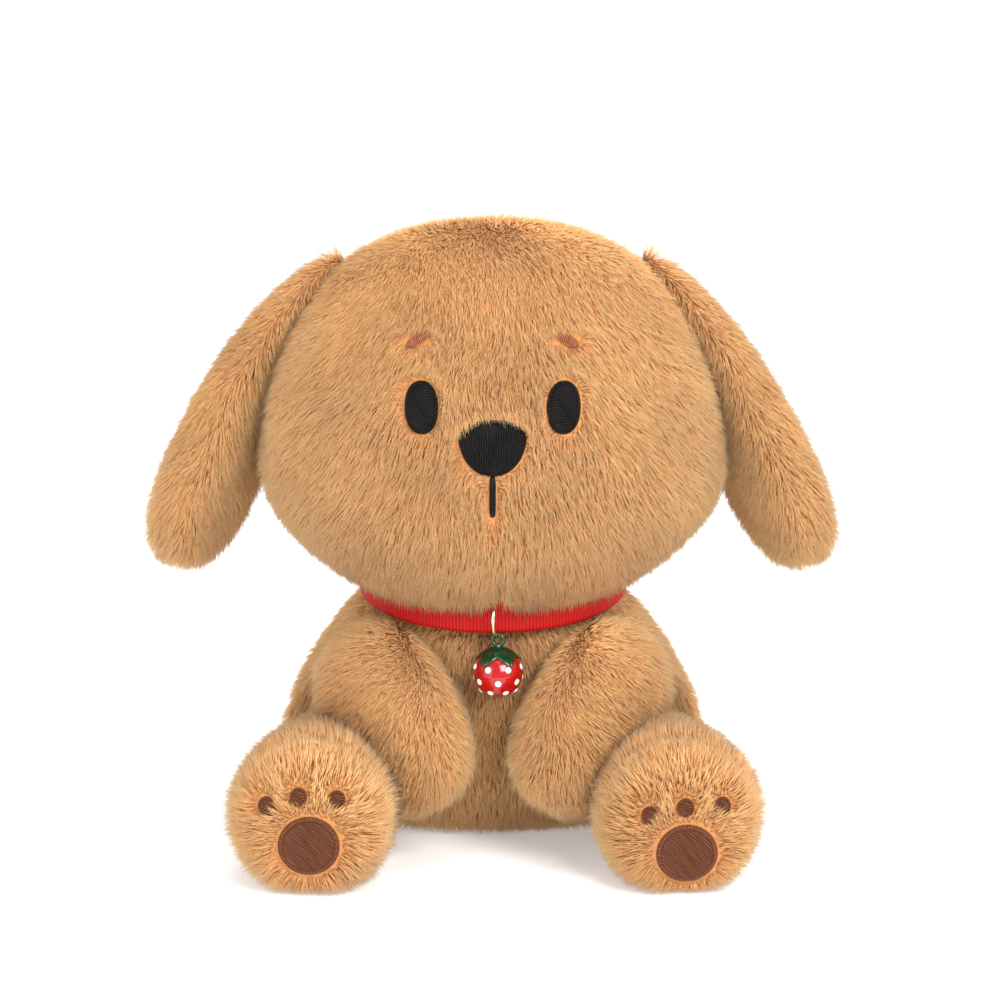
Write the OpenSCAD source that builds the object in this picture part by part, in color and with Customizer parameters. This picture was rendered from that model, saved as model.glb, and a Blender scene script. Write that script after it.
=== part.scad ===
// Seated plush dog: sewn fur covers over stuffing, embroidered face and soles,
// a ribbon collar with a jump ring and a small enamelled strawberry bell.
// +Z is up, the dog faces -Y, and the origin is on the floor under the middle of the toy.

/* [Fabric] */
// Thickness of the cover fabric with its pressed-down pile
fabric_t = 2.5; // [1.5:0.5:4]
// Thickness of an embroidered patch
thread_t = 0.9; // [0.5:0.1:1.5]
// Gap between a cover and the stuffing inside it
wad_gap = 0.3; // [0.2:0.1:0.6]
// Gap between sewn limbs and the torso, and between the neck and the head
joint_gap = 0.6; // [0.4:0.1:1.2]

/* [Head] */
// Full width of the head
head_w = 130; // [104:2:156]
// Height of the head above its widest line
head_high = 67.5; // [60:0.5:80]
// Height of the head below its widest line
head_low = 43.5; // [38:0.5:50]
// Depth of the head, front to back
head_depth = 100; // [84:2:116]
// Height of the head's widest line above the floor
head_z = 110; // [108:1:122]
// How far the head sits in front of the neck
head_forward = 8; // [4:1:12]

/* [Face] */
// Distance between the middles of the eyes
eye_spacing = 39.4; // [34:0.2:46]
// Width of an eye
eye_w = 9.4; // [7:0.2:12]
// Height of an eye
eye_h = 14.6; // [11:0.2:18]
// Width of the nose patch
nose_w = 17.6; // [14:0.2:22]
// Height of the nose patch
nose_h = 15.2; // [12:0.2:18]
// Length of the line from the nose to the mouth
mouth_h = 12; // [8:0.5:14]
// Width of the mouth line
mouth_w = 2.2; // [1.4:0.2:3]
// Length of an eyebrow
brow_w = 5.6; // [4:0.2:8]
// Height of an eyebrow
brow_h = 2.6; // [2:0.2:4]

/* [Ears] */
// Drop of an ear from its seam to its tip
ear_drop = 88; // [70:2:100]
// Width of an ear, front edge to back edge
ear_w = 46; // [36:1:56]
// Thickness of an ear at its tip half
ear_t = 20; // [14:0.5:22]
// How far an ear's tip stands out past its seam
ear_out = 46; // [40:1:54]

/* [Torso] */
// Full width of the torso at its widest
torso_w = 122; // [104:2:134]
// Height of the torso's widest line above the floor
torso_z = 24; // [20:1:28]
// Height from the widest line to the top of the torso's curve
torso_high = 60; // [56:1:66]
// Depth of the belly in front of the middle
belly_depth = 38; // [32:1:40]
// Depth of the back behind the middle
back_depth = 44; // [38:1:52]
// Height of the neck seam above the floor
neck_z = 74; // [72:0.5:76]
// Radius of the ball of wadding that joins the neck and the head
neck_r = 28; // [24:1:30]

/* [Arms] */
// Width of an arm
arm_w = 37; // [30:1:40]
// Thickness of an arm, front to back
arm_t = 35; // [28:1:38]

/* [Legs] */
// Width of a leg behind its foot
leg_w = 36; // [30:1:40]
// Width of a foot
foot_w = 47; // [40:1:50]
// Height of a foot
foot_h = 49; // [42:1:54]
// Distance of the soles in front of the neck
foot_reach = 84; // [76:1:92]
// Distance of a foot's middle from the middle of the toy
foot_side = 50.5; // [48:0.5:60]
// Width of a sole's large pad
pad_w = 17; // [13:0.5:20]
// Width of a toe bean
bean_w = 4.8; // [3.5:0.1:6]

/* [Tail] */
// Length of the tail
tail_l = 32; // [24:1:40]
// Width of the tail
tail_w = 22; // [16:1:26]

/* [Collar] */
// Width of the ribbon
ribbon_w = 9.5; // [7:0.5:11]
// Thickness of the ribbon
ribbon_t = 0.6; // [0.4:0.1:1]
// Inner radius of the ribbon collar
collar_r = 38.5; // [37:0.5:41]
// Forward tilt of the collar, in degrees
collar_tilt = 8; // [4:1:10]
// Length of ribbon that overlaps at the nape
overlap_l = 14; // [8:1:20]

/* [Bell] */
// Outer diameter of the jump ring
ring_d = 12; // [11.8:0.2:14]
// Wire diameter of the jump ring
ring_wire = 0.9; // [0.8:0.1:1]
// Outer diameter of the bell
bell_d = 14; // [12:0.5:16]
// Wall of the bell
bell_wall = 0.8; // [0.6:0.1:1.2]
// Diameter of the ball inside the bell
pellet_d = 4; // [3:0.5:5]
// Width of the sound slot in the bell's underside
slot_w = 1.2; // [0.8:0.1:2]
// Outer diameter of the bell's hanging loop
loop_d = 4.4; // [4:0.2:5]
// Wire diameter of the hanging loop
loop_wire = 0.9; // [0.7:0.1:1]
// Diameter of a seed dot on the bell
seed_d = 1.9; // [1.2:0.1:2.4]

/* [Hidden] */
$fn = 48;

fur_tan = [0.82, 0.62, 0.40];
fur_under = [0.74, 0.54, 0.34];
wad_white = [0.94, 0.93, 0.90];
thread_black = [0.06, 0.06, 0.07];
thread_brown = [0.36, 0.23, 0.17];
brow_brown = [0.60, 0.38, 0.30];
ribbon_red = [0.86, 0.13, 0.12];
pale_gold = [0.86, 0.74, 0.52];
enamel_red = [0.85, 0.10, 0.08];
enamel_green = [0.05, 0.30, 0.17];
enamel_white = [0.96, 0.96, 0.94];

grid_u = 12;         // rows of facets along a limb
grid_v = 16;         // facets around a limb
egg_u = 14;          // rows of facets up the head and the torso
egg_v = 24;          // facets around the head and the torso
end_gap = 0.004;     // share of a cover left open where its seams are gathered at an end
big = 400;           // side of the blocks that trim the soft shapes
head_round = 2.3;    // squareness of the head above its widest line
chin_full = 0.5;     // extra squareness of the chin
head_u = 0.12;       // share of the head's height at which its covers start
torso_u = 0.1;       // share of the torso's height at which its rings start
torso_low = 30;      // height of the torso's lower curve before the floor trims it
torso_round = 2.3;   // squareness of the torso above its widest line
side_taper = 0.25;   // narrowing of the torso's sides towards the neck
torso_back = 6;      // how far the torso's widest line sits behind the neck
side_seam_y = torso_back - 1.4;    // where the belly panel is sewn to the back panels
relief_r = 43;       // radius of the hollow under the head that clears the collar
relief_up = 10;      // height of that hollow's roof above the middle of the collar
ring_room = 3.5;     // height of the notch in the chin above the ring
ear_lift = 4.4;      // height of an ear's seam line above the head, half the ear's thickness there
ear_bow = 13.2;      // how far an ear's bow is pulled out past the head's widest line
shoulder_r = 20.5;   // radius of the round seat that each arm turns in
hip_r = 24;          // radius of the round seat that each leg turns in
room_fn = 16;        // facets round a dent in the torso
thigh_l = 46;        // length of thigh that lies against the torso
thigh_turn = 20;     // degrees that the thighs point outwards
panel_gap = 0.05;    // gap between a set-in panel and the covers around it
plug_r = 14;         // radius of the neck wad's plug
plug_l = 18;         // depth of the plug in the torso
neck_ball_z = neck_z - 2;
leg_spread = 15;     // degrees that a leg spreads from rest
arm_lift = 8;        // degrees that an arm lifts from rest
leg_seam_z = 21;     // height of the seam along a leg
sole_seam_y = 9 - foot_reach;    // where the sole is sewn to the leg
eye_z = head_z + 22;
nose_z = head_z + 11.2;
brow_z = head_z + 40;
// Places of the pads on the soles, across and up: the right print is turned and set a little lower
function pad_at(side) = side < 0 ? [1, -8.4] : [2, -10.6];
function beans_at(side) =
    side < 0 ? [[-11.6, 11.2], [-2.7, 13.8], [7.8, 13]] : [[-10.3, 10.8], [-0.5, 13], [9.7, 13.3]];
tail_seat = [0, back_depth + torso_back - 5, 15];
tail_seat_r = tail_w * 0.5;
tail_in = 6;         // how far the tail starts inside its dent
tail_end = tail_seat[1] - tail_in + tail_l;
mid_y = (foot_reach - tail_end + 0.4) / 2;    // places the origin under the middle of the whole toy
collar_z = 74.4;     // height of the collar's middle on the neck axis
ring_side = 1.5;     // how far the ring hangs to one side
ring_ahead = bell_d / 2 - 5.8;    // how far the ring stands in front of the ribbon, so that the bell clears the belly
ring_turn = 15;      // degrees that the ring is turned from square
ribbon_mid = collar_r + ribbon_t / 2;
ring_at = [ring_side, -ribbon_mid * cos(collar_tilt) - ring_ahead, collar_z - ribbon_mid * sin(collar_tilt)];
loop_up = bell_d / 2 + loop_d / 2 + 0.4;    // height of the loop's middle above the bell's middle
loop_slack = loop_d / 2 - loop_wire - ring_wire / 2 - panel_gap;    // how far the loop hangs below the ring
bell_at = ring_at - [0, 0, ring_d / 2 - ring_wire / 2 + loop_slack + loop_up];
leaves = 5;
leaf_t = 0.6;        // thickness of a leaf
seeds_round = 7;     // seed dots in each row
seed_lat = [18, -14, -44];
seed_t = 0.35;       // how far a seed dot stands out

// ---------- shared shapes ----------

// Quadratic curve through a start, a pull point and an end
function bend(a, b, c, t) = (1 - t) * (1 - t) * a + 2 * t * (1 - t) * b + t * t * c;
function bend_way(a, b, c, t) = 2 * (1 - t) * (b - a) + 2 * t * (c - b);
function unit(v) = v / norm(v);
function signed_pow(x, p) = sign(x) * pow(abs(x), p);
function flip_x(p, side) = [side * p[0], p[1], p[2]];

// How full a stuffed shape is at share u of its length: zero at both ends, one in the middle
function fullness(u, n) = pow(max(0, 1 - pow(abs(2 * u - 1), n)), 1 / n);

// A point on a stuffed limb. limb = [start, pull, end, half widths, half thicknesses, side way, squareness];
// a = angle around it, inset = depth below its surface
function limb_point(limb, u, a, inset) =
    let (way0 = unit(limb[1] - limb[0]), way1 = unit(limb[2] - limb[1]),
         p0 = limb[0] + inset * way0, p2 = limb[2] - inset * way1,
         c = bend(p0, limb[1], p2, u), way = unit(bend_way(p0, limb[1], p2, u)),
         across = unit(limb[5] - (limb[5] * way) * way), over = cross(way, across),
         w = bend(limb[3][0], limb[3][1], limb[3][2], u) - inset,
         t = bend(limb[4][0], limb[4][1], limb[4][2], u) - inset,
         full = fullness(u, limb[6]))
    c + full * (w * cos(a) * across + t * sin(a) * over);

// A point on an egg-like body. egg = [centre, half width, front, back, high, low, squareness, side taper,
// lean back, extra fullness of its lower front]; u runs from its bottom to its top, a = angle around it,
// inset = depth below its surface
function egg_point(egg, u, a, inset) =
    let (lat = 180 * u - 90, n = lat > 0 ? egg[6] : 2 + egg[9] * pow(max(0, -sin(a)), 2),
         out = pow(max(0, cos(lat)), 2 / n), rise = signed_pow(sin(lat), 2 / n),
         z = rise * ((lat > 0 ? egg[4] : egg[5]) - inset),
         x = (egg[1] - inset) * out * (1 - egg[7] * max(0, rise)) * cos(a),
         depth = (sin(a) < 0 ? egg[2] : egg[3]) - inset,
         y = depth * out * sin(a) - egg[8] * max(0, rise))
    egg[0] + [x, y, z];

// Two triangles for each cell of a grid of rows and columns, starting at point number k
function grid_faces(k, rows, cols, out) =
    [for (i = [0 : rows - 2], j = [0 : cols - 2])
        let (a = k + i * cols + j, b = a + 1, c = a + cols, d = c + 1)
        each (out ? [[a, c, b], [b, c, d]] : [[a, b, c], [b, d, c]])];

// A panel with its own thickness: an outer and an inner grid of points, closed by four walls
module slab(outer, inner, rows, cols) {
    k = rows * cols;
    sides = concat(
        [for (i = [0 : rows - 2]) let (a = i * cols, c = a + cols)
            each [[a, a + k, c], [c, a + k, c + k]]],
        [for (i = [0 : rows - 2]) let (a = i * cols + cols - 1, c = a + cols)
            each [[a, c, a + k], [c, c + k, a + k]]],
        [for (j = [0 : cols - 2]) let (a = j, b = j + 1)
            each [[a, b, a + k], [b, b + k, a + k]]],
        [for (j = [0 : cols - 2]) let (a = (rows - 1) * cols + j, b = a + 1)
            each [[a, a + k, b], [b, a + k, b + k]]]);
    polyhedron(concat(outer, inner),
        concat(grid_faces(0, rows, cols, true), grid_faces(k, rows, cols, false), sides));
}

// Rings of points closed at both ends by a single point
module closed_rings(start, rings, end) {
    rows = len(rings);
    cols = len(rings[0]);
    last = rows * cols + 1;
    polyhedron(concat([start], [for (r = rings) each r], [end]),
        concat(
            [for (j = [0 : cols - 1]) [0, 1 + j, 1 + (j + 1) % cols]],
            [for (i = [0 : rows - 2], j = [0 : cols - 1])
                let (a = 1 + i * cols + j, b = 1 + i * cols + (j + 1) % cols, c = a + cols, d = b + cols)
                each [[a, c, b], [b, c, d]]],
            [for (j = [0 : cols - 1])
                let (a = 1 + (rows - 1) * cols + j, b = 1 + (rows - 1) * cols + (j + 1) % cols)
                [a, last, b]]));
}

// Shares of a limb's length at which its rings of points lie, closer together at its ends
shares = [for (i = [0 : grid_u]) end_gap + (1 - 2 * end_gap) * (1 - cos(180 * i / grid_u)) / 2];

// The panel of a limb's cover between angles a0 and a1
module limb_panel(limb, a0, a1) {
    cols = grid_v * (a1 - a0) / 360 + 1;
    function grid(inset) = [for (u = shares, j = [0 : cols - 1])
        limb_point(limb, u, a0 + 360 * j / grid_v, inset)];
    slab(grid(0), grid(fabric_t), grid_u + 1, cols);
}

function limb_ring(limb, u, inset) = [for (j = [0 : grid_v - 1]) limb_point(limb, u, 360 * j / grid_v, inset)];

// The whole of a limb, a set depth below its surface
module limb_core(limb, inset) {
    closed_rings(limb_point(limb, 0, 0, inset), [for (u = shares) limb_ring(limb, u, inset)],
        limb_point(limb, 1, 0, inset));
}

function egg_share(u0, i) = u0 + (1 - end_gap - u0) * i / egg_u;

// The panel of an egg-like cover between angles a0 and a1, from share u0 of its height upwards
module egg_panel(egg, u0, a0, a1) {
    cols = egg_v * (a1 - a0) / 360 + 1;
    function grid(inset) = [for (i = [0 : egg_u], j = [0 : cols - 1])
        egg_point(egg, egg_share(u0, i), a0 + 360 * j / egg_v, inset)];
    slab(grid(0), grid(fabric_t), egg_u + 1, cols);
}

// The whole of an egg-like body, a set depth below its surface; shift turns its facets, in facets
module egg_core(egg, u0, inset, shift = 0) {
    closed_rings(egg_point(egg, 0, 0, inset),
        [for (i = [0 : egg_u]) [for (j = [0 : egg_v - 1])
            egg_point(egg, egg_share(u0, i), 360 * (j + shift) / egg_v, inset)]],
        egg_point(egg, 1, 0, inset));
}

// A faceted ball whose flats lie outside a true ball of radius r
module room_ball(at, r) {
    translate(at) sphere(r / pow(cos(180 / room_fn), 2), $fn = room_fn);
}

// Everything below the floor
module below_floor() {
    translate([-big / 2, -big / 2, -big]) cube(big);
}

// Everything above height z
module above(z) {
    translate([0, 0, z]) mirror([0, 0, 1]) below_floor();
}

// Moves a piece from the collar's own axes, upright about Z, to its tilted place round the neck
module at_collar() {
    translate([0, 0, collar_z]) rotate([collar_tilt, 0, 0]) children();
}

// Moves a piece from the neck's own axes to the toy's
module placed() {
    translate([0, mid_y, 0]) children();
}

// ---------- the soft shapes ----------

head = [[0, -head_forward, head_z], head_w / 2, head_depth / 2, head_depth / 2,
    head_high, head_low, head_round, 0, 0, chin_full];

torso = [[0, torso_back, torso_z], torso_w / 2, belly_depth, back_depth,
    torso_high, torso_low, torso_round, side_taper, torso_back, 0];

function ear_root(side) = flip_x(egg_point(head, 0.79, 167, -ear_lift), -side);
function ear(side) =
    let (root = ear_root(side))
    [root, root + [side * (head_w / 2 - abs(root[0]) + ear_bow), 0, -ear_drop * 0.25],
     root + [side * ear_out, -2, -ear_drop],
     [ear_w * 0.3, ear_w * 0.52, ear_w * 0.56], [fabric_t + wad_gap + 0.8, ear_t * 0.36, ear_t * 0.58],
     [side * 0.35, -0.94, 0], 3];

// Each arm hangs from the shoulder seam and rests its paw between the legs; the right paw lies
// a little nearer the middle than the left one
arm_paw_side = [arm_w / 2 - 2, arm_w / 2 - 3.5];
function shoulder(side) = [side * 31, -20, 46];
function arm(side) =
    [[side * 31, -16, 50], [side * 31, -44, 50], [side * arm_paw_side[side < 0 ? 0 : 1], -53, 19],
     [arm_w * 0.44, arm_w * 0.5, arm_w * 0.5], [arm_t * 0.44, arm_t * 0.5, arm_t * 0.5],
     [1, 0, 0], 2.7];

function hip(side) = [side * 32, 4, hip_r + joint_gap];
function leg(side) =
    [[side * 31, 8, 19], [side * 50, -32, 19], [side * (foot_side + 1), -foot_reach, foot_h / 2 - 1],
     [leg_w / 2, leg_w * 0.34, foot_w * 0.56], [leg_w * 0.54, leg_w * 0.48, foot_h * 0.58],
     [1, 0, 0], 4];

tail = [[0, tail_seat[1] - tail_in, 14], [0, tail_seat[1] + tail_l * 0.4, 11],
    [0, tail_end, tail_w / 2 + 9],
    [tail_w * 0.4, tail_w * 0.5, tail_w * 0.5], [tail_w * 0.4, tail_w * 0.45, tail_w * 0.5],
    [1, 0, 0], 2.6];

// ---------- torso and neck ----------

// The dent that an arm presses into the torso: round at the shoulder, and as far as the paw reaches.
// clear = the gap round the arm
module arm_room(side, clear) {
    hull() {
        room_ball(shoulder(side), shoulder_r + clear);
        room_ball(bend(arm(side)[0], arm(side)[1], arm(side)[2], 0.7), arm_w / 2 + clear);
    }
}

// The dent that a leg presses into the torso, with room for the leg to spread outwards from rest
module leg_room(side, clear) {
    hull() {
        room_ball(hip(side), hip_r + clear);
        for (a = [0, leg_spread])
            translate(hip(side)) rotate([0, 0, side * (a + thigh_turn)])
                room_ball([0, -thigh_l, -2], hip_r - 2 + clear);
    }
}

// The torso a set depth below its surface and below the dents in it, with a flat seat and neck
module torso_body(inset) {
    difference() {
        egg_core(torso, torso_u, inset, 0.5);
        translate([0, 0, inset > 0 ? -1 : 0]) below_floor();
        above(neck_z + (inset > 0 ? 1 : 0));
        for (side = [-1, 1]) {
            arm_room(side, joint_gap + inset);
            leg_room(side, joint_gap + inset);
        }
        room_ball(tail_seat, tail_seat_r + joint_gap + inset);
    }
}

// The part of the torso's cover inside a block
module torso_cover(corner) {
    color(fur_tan) placed() intersection() {
        difference() {
            torso_body(0);
            torso_body(fabric_t);
        }
        translate(corner) cube(big);
    }
}

module belly_panel() { torso_cover([-big / 2, side_seam_y - big, -1]); }
module back_panel_left() { torso_cover([-big, side_seam_y, -1]); }
module back_panel_right() { torso_cover([0, side_seam_y, -1]); }

// The flat base that closes the covers under the seat
module seat_panel() {
    color(fur_under) placed() difference() {
        intersection() {
            egg_core(torso, torso_u, fabric_t + panel_gap, 0.5);
            translate([-big / 2, -big / 2, 0]) cube([big, big, fabric_t]);
        }
        for (side = [-1, 1]) leg_room(side, joint_gap + fabric_t + panel_gap);
    }
}

module torso_stuffing() {
    color(wad_white) placed() difference() {
        egg_core(torso, torso_u, fabric_t + wad_gap, 0.5);
        above(neck_z);
        translate([0, 0, fabric_t + wad_gap]) below_floor();
        for (side = [-1, 1]) {
            arm_room(side, joint_gap + fabric_t + wad_gap);
            leg_room(side, joint_gap + fabric_t + wad_gap);
        }
        room_ball(tail_seat, tail_seat_r + joint_gap + fabric_t + wad_gap);
        translate([0, 0, neck_z - plug_l - wad_gap]) cylinder(r = plug_r + wad_gap, h = big);
    }
}

// A firm wad between torso and head: a plug down in the torso and a ball up in the head
module neck_wadding() {
    color(wad_white) placed() union() {
        translate([0, 0, neck_z - plug_l]) cylinder(r = plug_r, h = plug_l + joint_gap + 0.1);
        intersection() {
            translate([0, 0, neck_ball_z]) sphere(neck_r);
            translate([0, 0, neck_z + joint_gap]) cylinder(r = neck_r + 1, h = neck_r);
        }
    }
}

// ---------- head ----------

// The hollow under the head that clears the collar and holds the neck's ball
module head_relief(roof) {
    at_collar() translate([0, 0, roof - big]) cylinder(r = relief_r, h = big);
    translate([ring_side, -relief_r - 1, ring_at[2] + ring_d / 2 + ring_room - big])
        cylinder(r = ring_d * 0.42, h = big);
    translate([0, 0, neck_ball_z]) sphere(neck_r + joint_gap);
}

module head_cover(a0, a1) {
    color(fur_tan) placed() difference() {
        egg_panel(head, head_u, a0, a1);
        head_relief(relief_up);
    }
}

module face_left() { head_cover(180, 270); }
module face_right() { head_cover(270, 360); }
module head_back_left() { head_cover(90, 180); }
module head_back_right() { head_cover(0, 90); }

// The flat ring of fabric that closes the head's underside around the neck
module head_base() {
    color(fur_under) placed() difference() {
        intersection() {
            egg_core(head, head_u, fabric_t + panel_gap);
            at_collar() translate([0, 0, relief_up + panel_gap])
                cylinder(r = relief_r - panel_gap, h = fabric_t - panel_gap);
        }
        translate([0, 0, neck_ball_z]) sphere(neck_r + joint_gap);
    }
}

module head_stuffing() {
    color(wad_white) placed() difference() {
        egg_core(head, head_u, fabric_t + wad_gap);
        head_relief(relief_up + fabric_t + wad_gap);
    }
}

// ---------- embroidery ----------

// Where the front of the head lies at a place seen from the front, a set distance proud of the cover
function face_point(x, z, out) =
    let (rise = (z - head_z) / ((z > head_z ? head_high : head_low) + out),
         round_off = pow(1 - pow(abs(rise), 2.2), 1 / 2.2),
         facing = 1 - pow(x / (head_w / 2 * round_off), 2),
         n = z > head_z ? head_round : 2 + chin_full * facing,
         full = pow(1 - pow(abs(rise), n), 1 / n),
         y = -head_forward - (head_depth / 2 + out) * sqrt(full * full - pow(x / (head_w / 2 + out), 2)))
    [x, y, z];

// A stitched patch: closed rings that run over its back, round its edge and over its front.
// spot(r, a, out) gives a point at share r of its outline in direction a
module patch(spot) {
    rings = 3;
    around = 20;
    lift = 0.05;
    function ring(r, out) = [for (j = [0 : around - 1]) spot(r, 360 * j / around, out)];
    closed_rings(spot(0, 0, lift),
        concat([for (i = [1 : rings]) ring(i / rings, lift)],
            [for (i = [rings : -1 : 1]) ring(i / rings * 0.99, thread_t)]),
        spot(0, 0, thread_t));
}

// Outline of a face patch: an oval of given squareness, narrowed towards its foot by pinch and sloped by lean
module face_patch(x, z, w, h, square, pinch, lean) {
    patch(function (r, a, out)
        let (sx = signed_pow(cos(a), square), sz = signed_pow(sin(a), square),
             px = x + r * w / 2 * sx * (1 + pinch * sz), pz = z + r * h / 2 * sz + lean * r * w / 2 * sx)
        face_point(px, pz, out));
}

module eye(side) {
    color(thread_black) placed() face_patch(side * eye_spacing / 2, eye_z, eye_w, eye_h, 0.9, 0, 0);
}

module eye_left() { eye(-1); }
module eye_right() { eye(1); }

module nose_patch() {
    color(thread_black) placed() face_patch(0, nose_z, nose_w, nose_h, 0.8, 0.3, 0);
}

module mouth_line() {
    color(thread_black) placed()
        face_patch(0, nose_z - nose_h / 2 - mouth_h / 2 - panel_gap, mouth_w, mouth_h, 0.5, 0, 0);
}

module brow(side) {
    color(brow_brown) placed() face_patch(side * eye_spacing * 0.53, brow_z, brow_w, brow_h, 0.9, 0, -side * 0.25);
}

module brow_left() { brow(-1); }
module brow_right() { brow(1); }

// ---------- ears ----------

module ear_panel(side, a0, a1) {
    color(fur_tan) placed() limb_panel(ear(side), a0, a1);
}

module ear_wadding(side) {
    color(wad_white) placed() limb_core(ear(side), fabric_t + wad_gap);
}

module ear_left_outer() { ear_panel(-1, 0, 180); }
module ear_left_lining() { ear_panel(-1, 180, 360); }
module ear_left_wadding() { ear_wadding(-1); }
module ear_right_outer() { ear_panel(1, 180, 360); }
module ear_right_lining() { ear_panel(1, 0, 180); }
module ear_right_wadding() { ear_wadding(1); }

// ---------- arms ----------

module arm_panel(side, a0, a1) {
    color(fur_tan) placed() limb_panel(arm(side), a0, a1);
}

module arm_stuffing(side) {
    color(wad_white) placed() limb_core(arm(side), fabric_t + wad_gap);
}

module arm_left_front() { arm_panel(-1, 0, 180); }
module arm_left_back() { arm_panel(-1, 180, 360); }
module arm_left_stuffing() { arm_stuffing(-1); }
module arm_right_front() { arm_panel(1, 0, 180); }
module arm_right_back() { arm_panel(1, 180, 360); }
module arm_right_stuffing() { arm_stuffing(1); }

// ---------- legs ----------

// The dent that an arm and its paw press into the leg beside it, as far as the arm can lift
module paw_room(side, clear) {
    function lifted(a, u) =
        let (p = bend(arm(side)[0], arm(side)[1], arm(side)[2], u) - shoulder(side))
        shoulder(side) + [p[0], p[1] * cos(a) + p[2] * sin(a), p[2] * cos(a) - p[1] * sin(a)];
    hull() {
        for (a = [0, arm_lift]) {
            room_ball(lifted(a, 0.2), arm_w * 0.46 + clear);
            room_ball(lifted(a, 0.6), arm_w / 2 + clear);
            room_ball(lifted(a, 0.86), arm_w * 0.45 + clear);
        }
    }
}

// A leg a set depth below its surface and below the dent in it, flat where it rests on the floor
module leg_body(side, inset) {
    difference() {
        limb_core(leg(side), inset);
        translate([0, 0, inset]) below_floor();
        paw_room(side, joint_gap + inset);
    }
}

// The part of a leg's cover inside a block
module leg_cover(side, corner) {
    color(fur_tan) placed() intersection() {
        difference() {
            leg_body(side, 0);
            leg_body(side, fabric_t);
        }
        translate(corner) cube(big);
    }
}

module leg_upper(side) { leg_cover(side, [-big / 2, sole_seam_y, leg_seam_z]); }
module leg_under(side) { leg_cover(side, [-big / 2, sole_seam_y, leg_seam_z - big]); }
module leg_sole(side) { leg_cover(side, [-big / 2, sole_seam_y - big, -1]); }
module leg_stuffing(side) { color(wad_white) placed() leg_body(side, fabric_t + wad_gap); }

// A place on a sole, across and up from its middle
function sole_point(limb, across, up, out) =
    let (n = limb[6],
         r1 = norm([across / limb[3][2], up / limb[4][2]]),
         u1 = (1 + pow(max(0, 1 - pow(r1, n)), 1 / n)) / 2,
         r2 = norm([across / bend(limb[3][0], limb[3][1], limb[3][2], u1),
                    up / bend(limb[4][0], limb[4][1], limb[4][2], u1)]),
         u = (1 + pow(max(0, 1 - pow(r2, n)), 1 / n)) / 2,
         c = bend(limb[0], limb[1], limb[2], u),
         way = unit(bend_way(limb[0], limb[1], limb[2], u)),
         side_way = unit(limb[5] - (limb[5] * way) * way))
    c + across * side_way + up * cross(way, side_way) + out * way;

module sole_patch(side, across, up, w, h) {
    patch(function (r, a, out)
        sole_point(leg(side), across + r * w / 2 * cos(a), up + r * h / 2 * sin(a), out));
}

module sole_pad(side) {
    at = pad_at(side);
    color(thread_brown) placed() sole_patch(side, at[0], at[1], pad_w, pad_w * 0.97);
}

// Three toe beans in an arch above the large pad
module toe_beans(side) {
    at = pad_at(side);
    for (bean = beans_at(side))
        color(thread_brown) placed()
            sole_patch(side, at[0] + bean[0], at[1] + bean[1], bean_w, bean_w * 1.1);
}

module leg_left_upper() { leg_upper(-1); }
module leg_left_under() { leg_under(-1); }
module leg_left_sole() { leg_sole(-1); }
module leg_left_stuffing() { leg_stuffing(-1); }
module sole_pad_left() { sole_pad(-1); }
module toe_beans_left() { toe_beans(-1); }
module leg_right_upper() { leg_upper(1); }
module leg_right_under() { leg_under(1); }
module leg_right_sole() { leg_sole(1); }
module leg_right_stuffing() { leg_stuffing(1); }
module sole_pad_right() { sole_pad(1); }
module toe_beans_right() { toe_beans(1); }

// ---------- tail ----------

module tail_upper() { color(fur_tan) placed() limb_panel(tail, 180, 360); }
module tail_under() { color(fur_under) placed() limb_panel(tail, 0, 180); }
module tail_stuffing() { color(wad_white) placed() limb_core(tail, fabric_t + wad_gap); }

// ---------- collar and bell ----------

module on_collar() { placed() at_collar() children(); }

module ribbon_tube(inner) {
    translate([0, 0, -ribbon_w / 2]) difference() {
        cylinder(r = inner + ribbon_t, h = ribbon_w, $fn = 96);
        translate([0, 0, -1]) cylinder(r = inner, h = ribbon_w + 2, $fn = 96);
    }
}

module collar_ribbon() {
    color(ribbon_red) on_collar() ribbon_tube(collar_r);
}

// The ribbon's free end, sewn down over its start at the nape
module collar_overlap() {
    color(ribbon_red) on_collar() intersection() {
        ribbon_tube(collar_r + ribbon_t);
        translate([-overlap_l / 2, 0, -ribbon_w]) cube([overlap_l, collar_r * 2, ribbon_w * 2]);
    }
}

module torus(outer_d, wire) {
    rotate([0, 90, 0]) rotate_extrude() translate([outer_d / 2 - wire / 2, 0]) circle(d = wire, $fn = 16);
}

// The ring hangs round the ribbon, a little in front of it, and turned a little to one side
module jump_ring() {
    color(pale_gold) placed() translate(ring_at) rotate([0, 0, ring_turn]) torus(ring_d, ring_wire);
}

// Moves a piece from the bell's middle to its place under the ring
module at_bell() {
    placed() translate(bell_at) rotate([0, 0, ring_turn]) children();
}

module bell_shell() {
    color(enamel_red) at_bell() difference() {
        sphere(d = bell_d);
        sphere(d = bell_d - 2 * bell_wall);
        translate([-slot_w / 2, -bell_d, -bell_d]) cube([slot_w, 2 * bell_d, bell_d - bell_d * 0.22]);
    }
}

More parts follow.
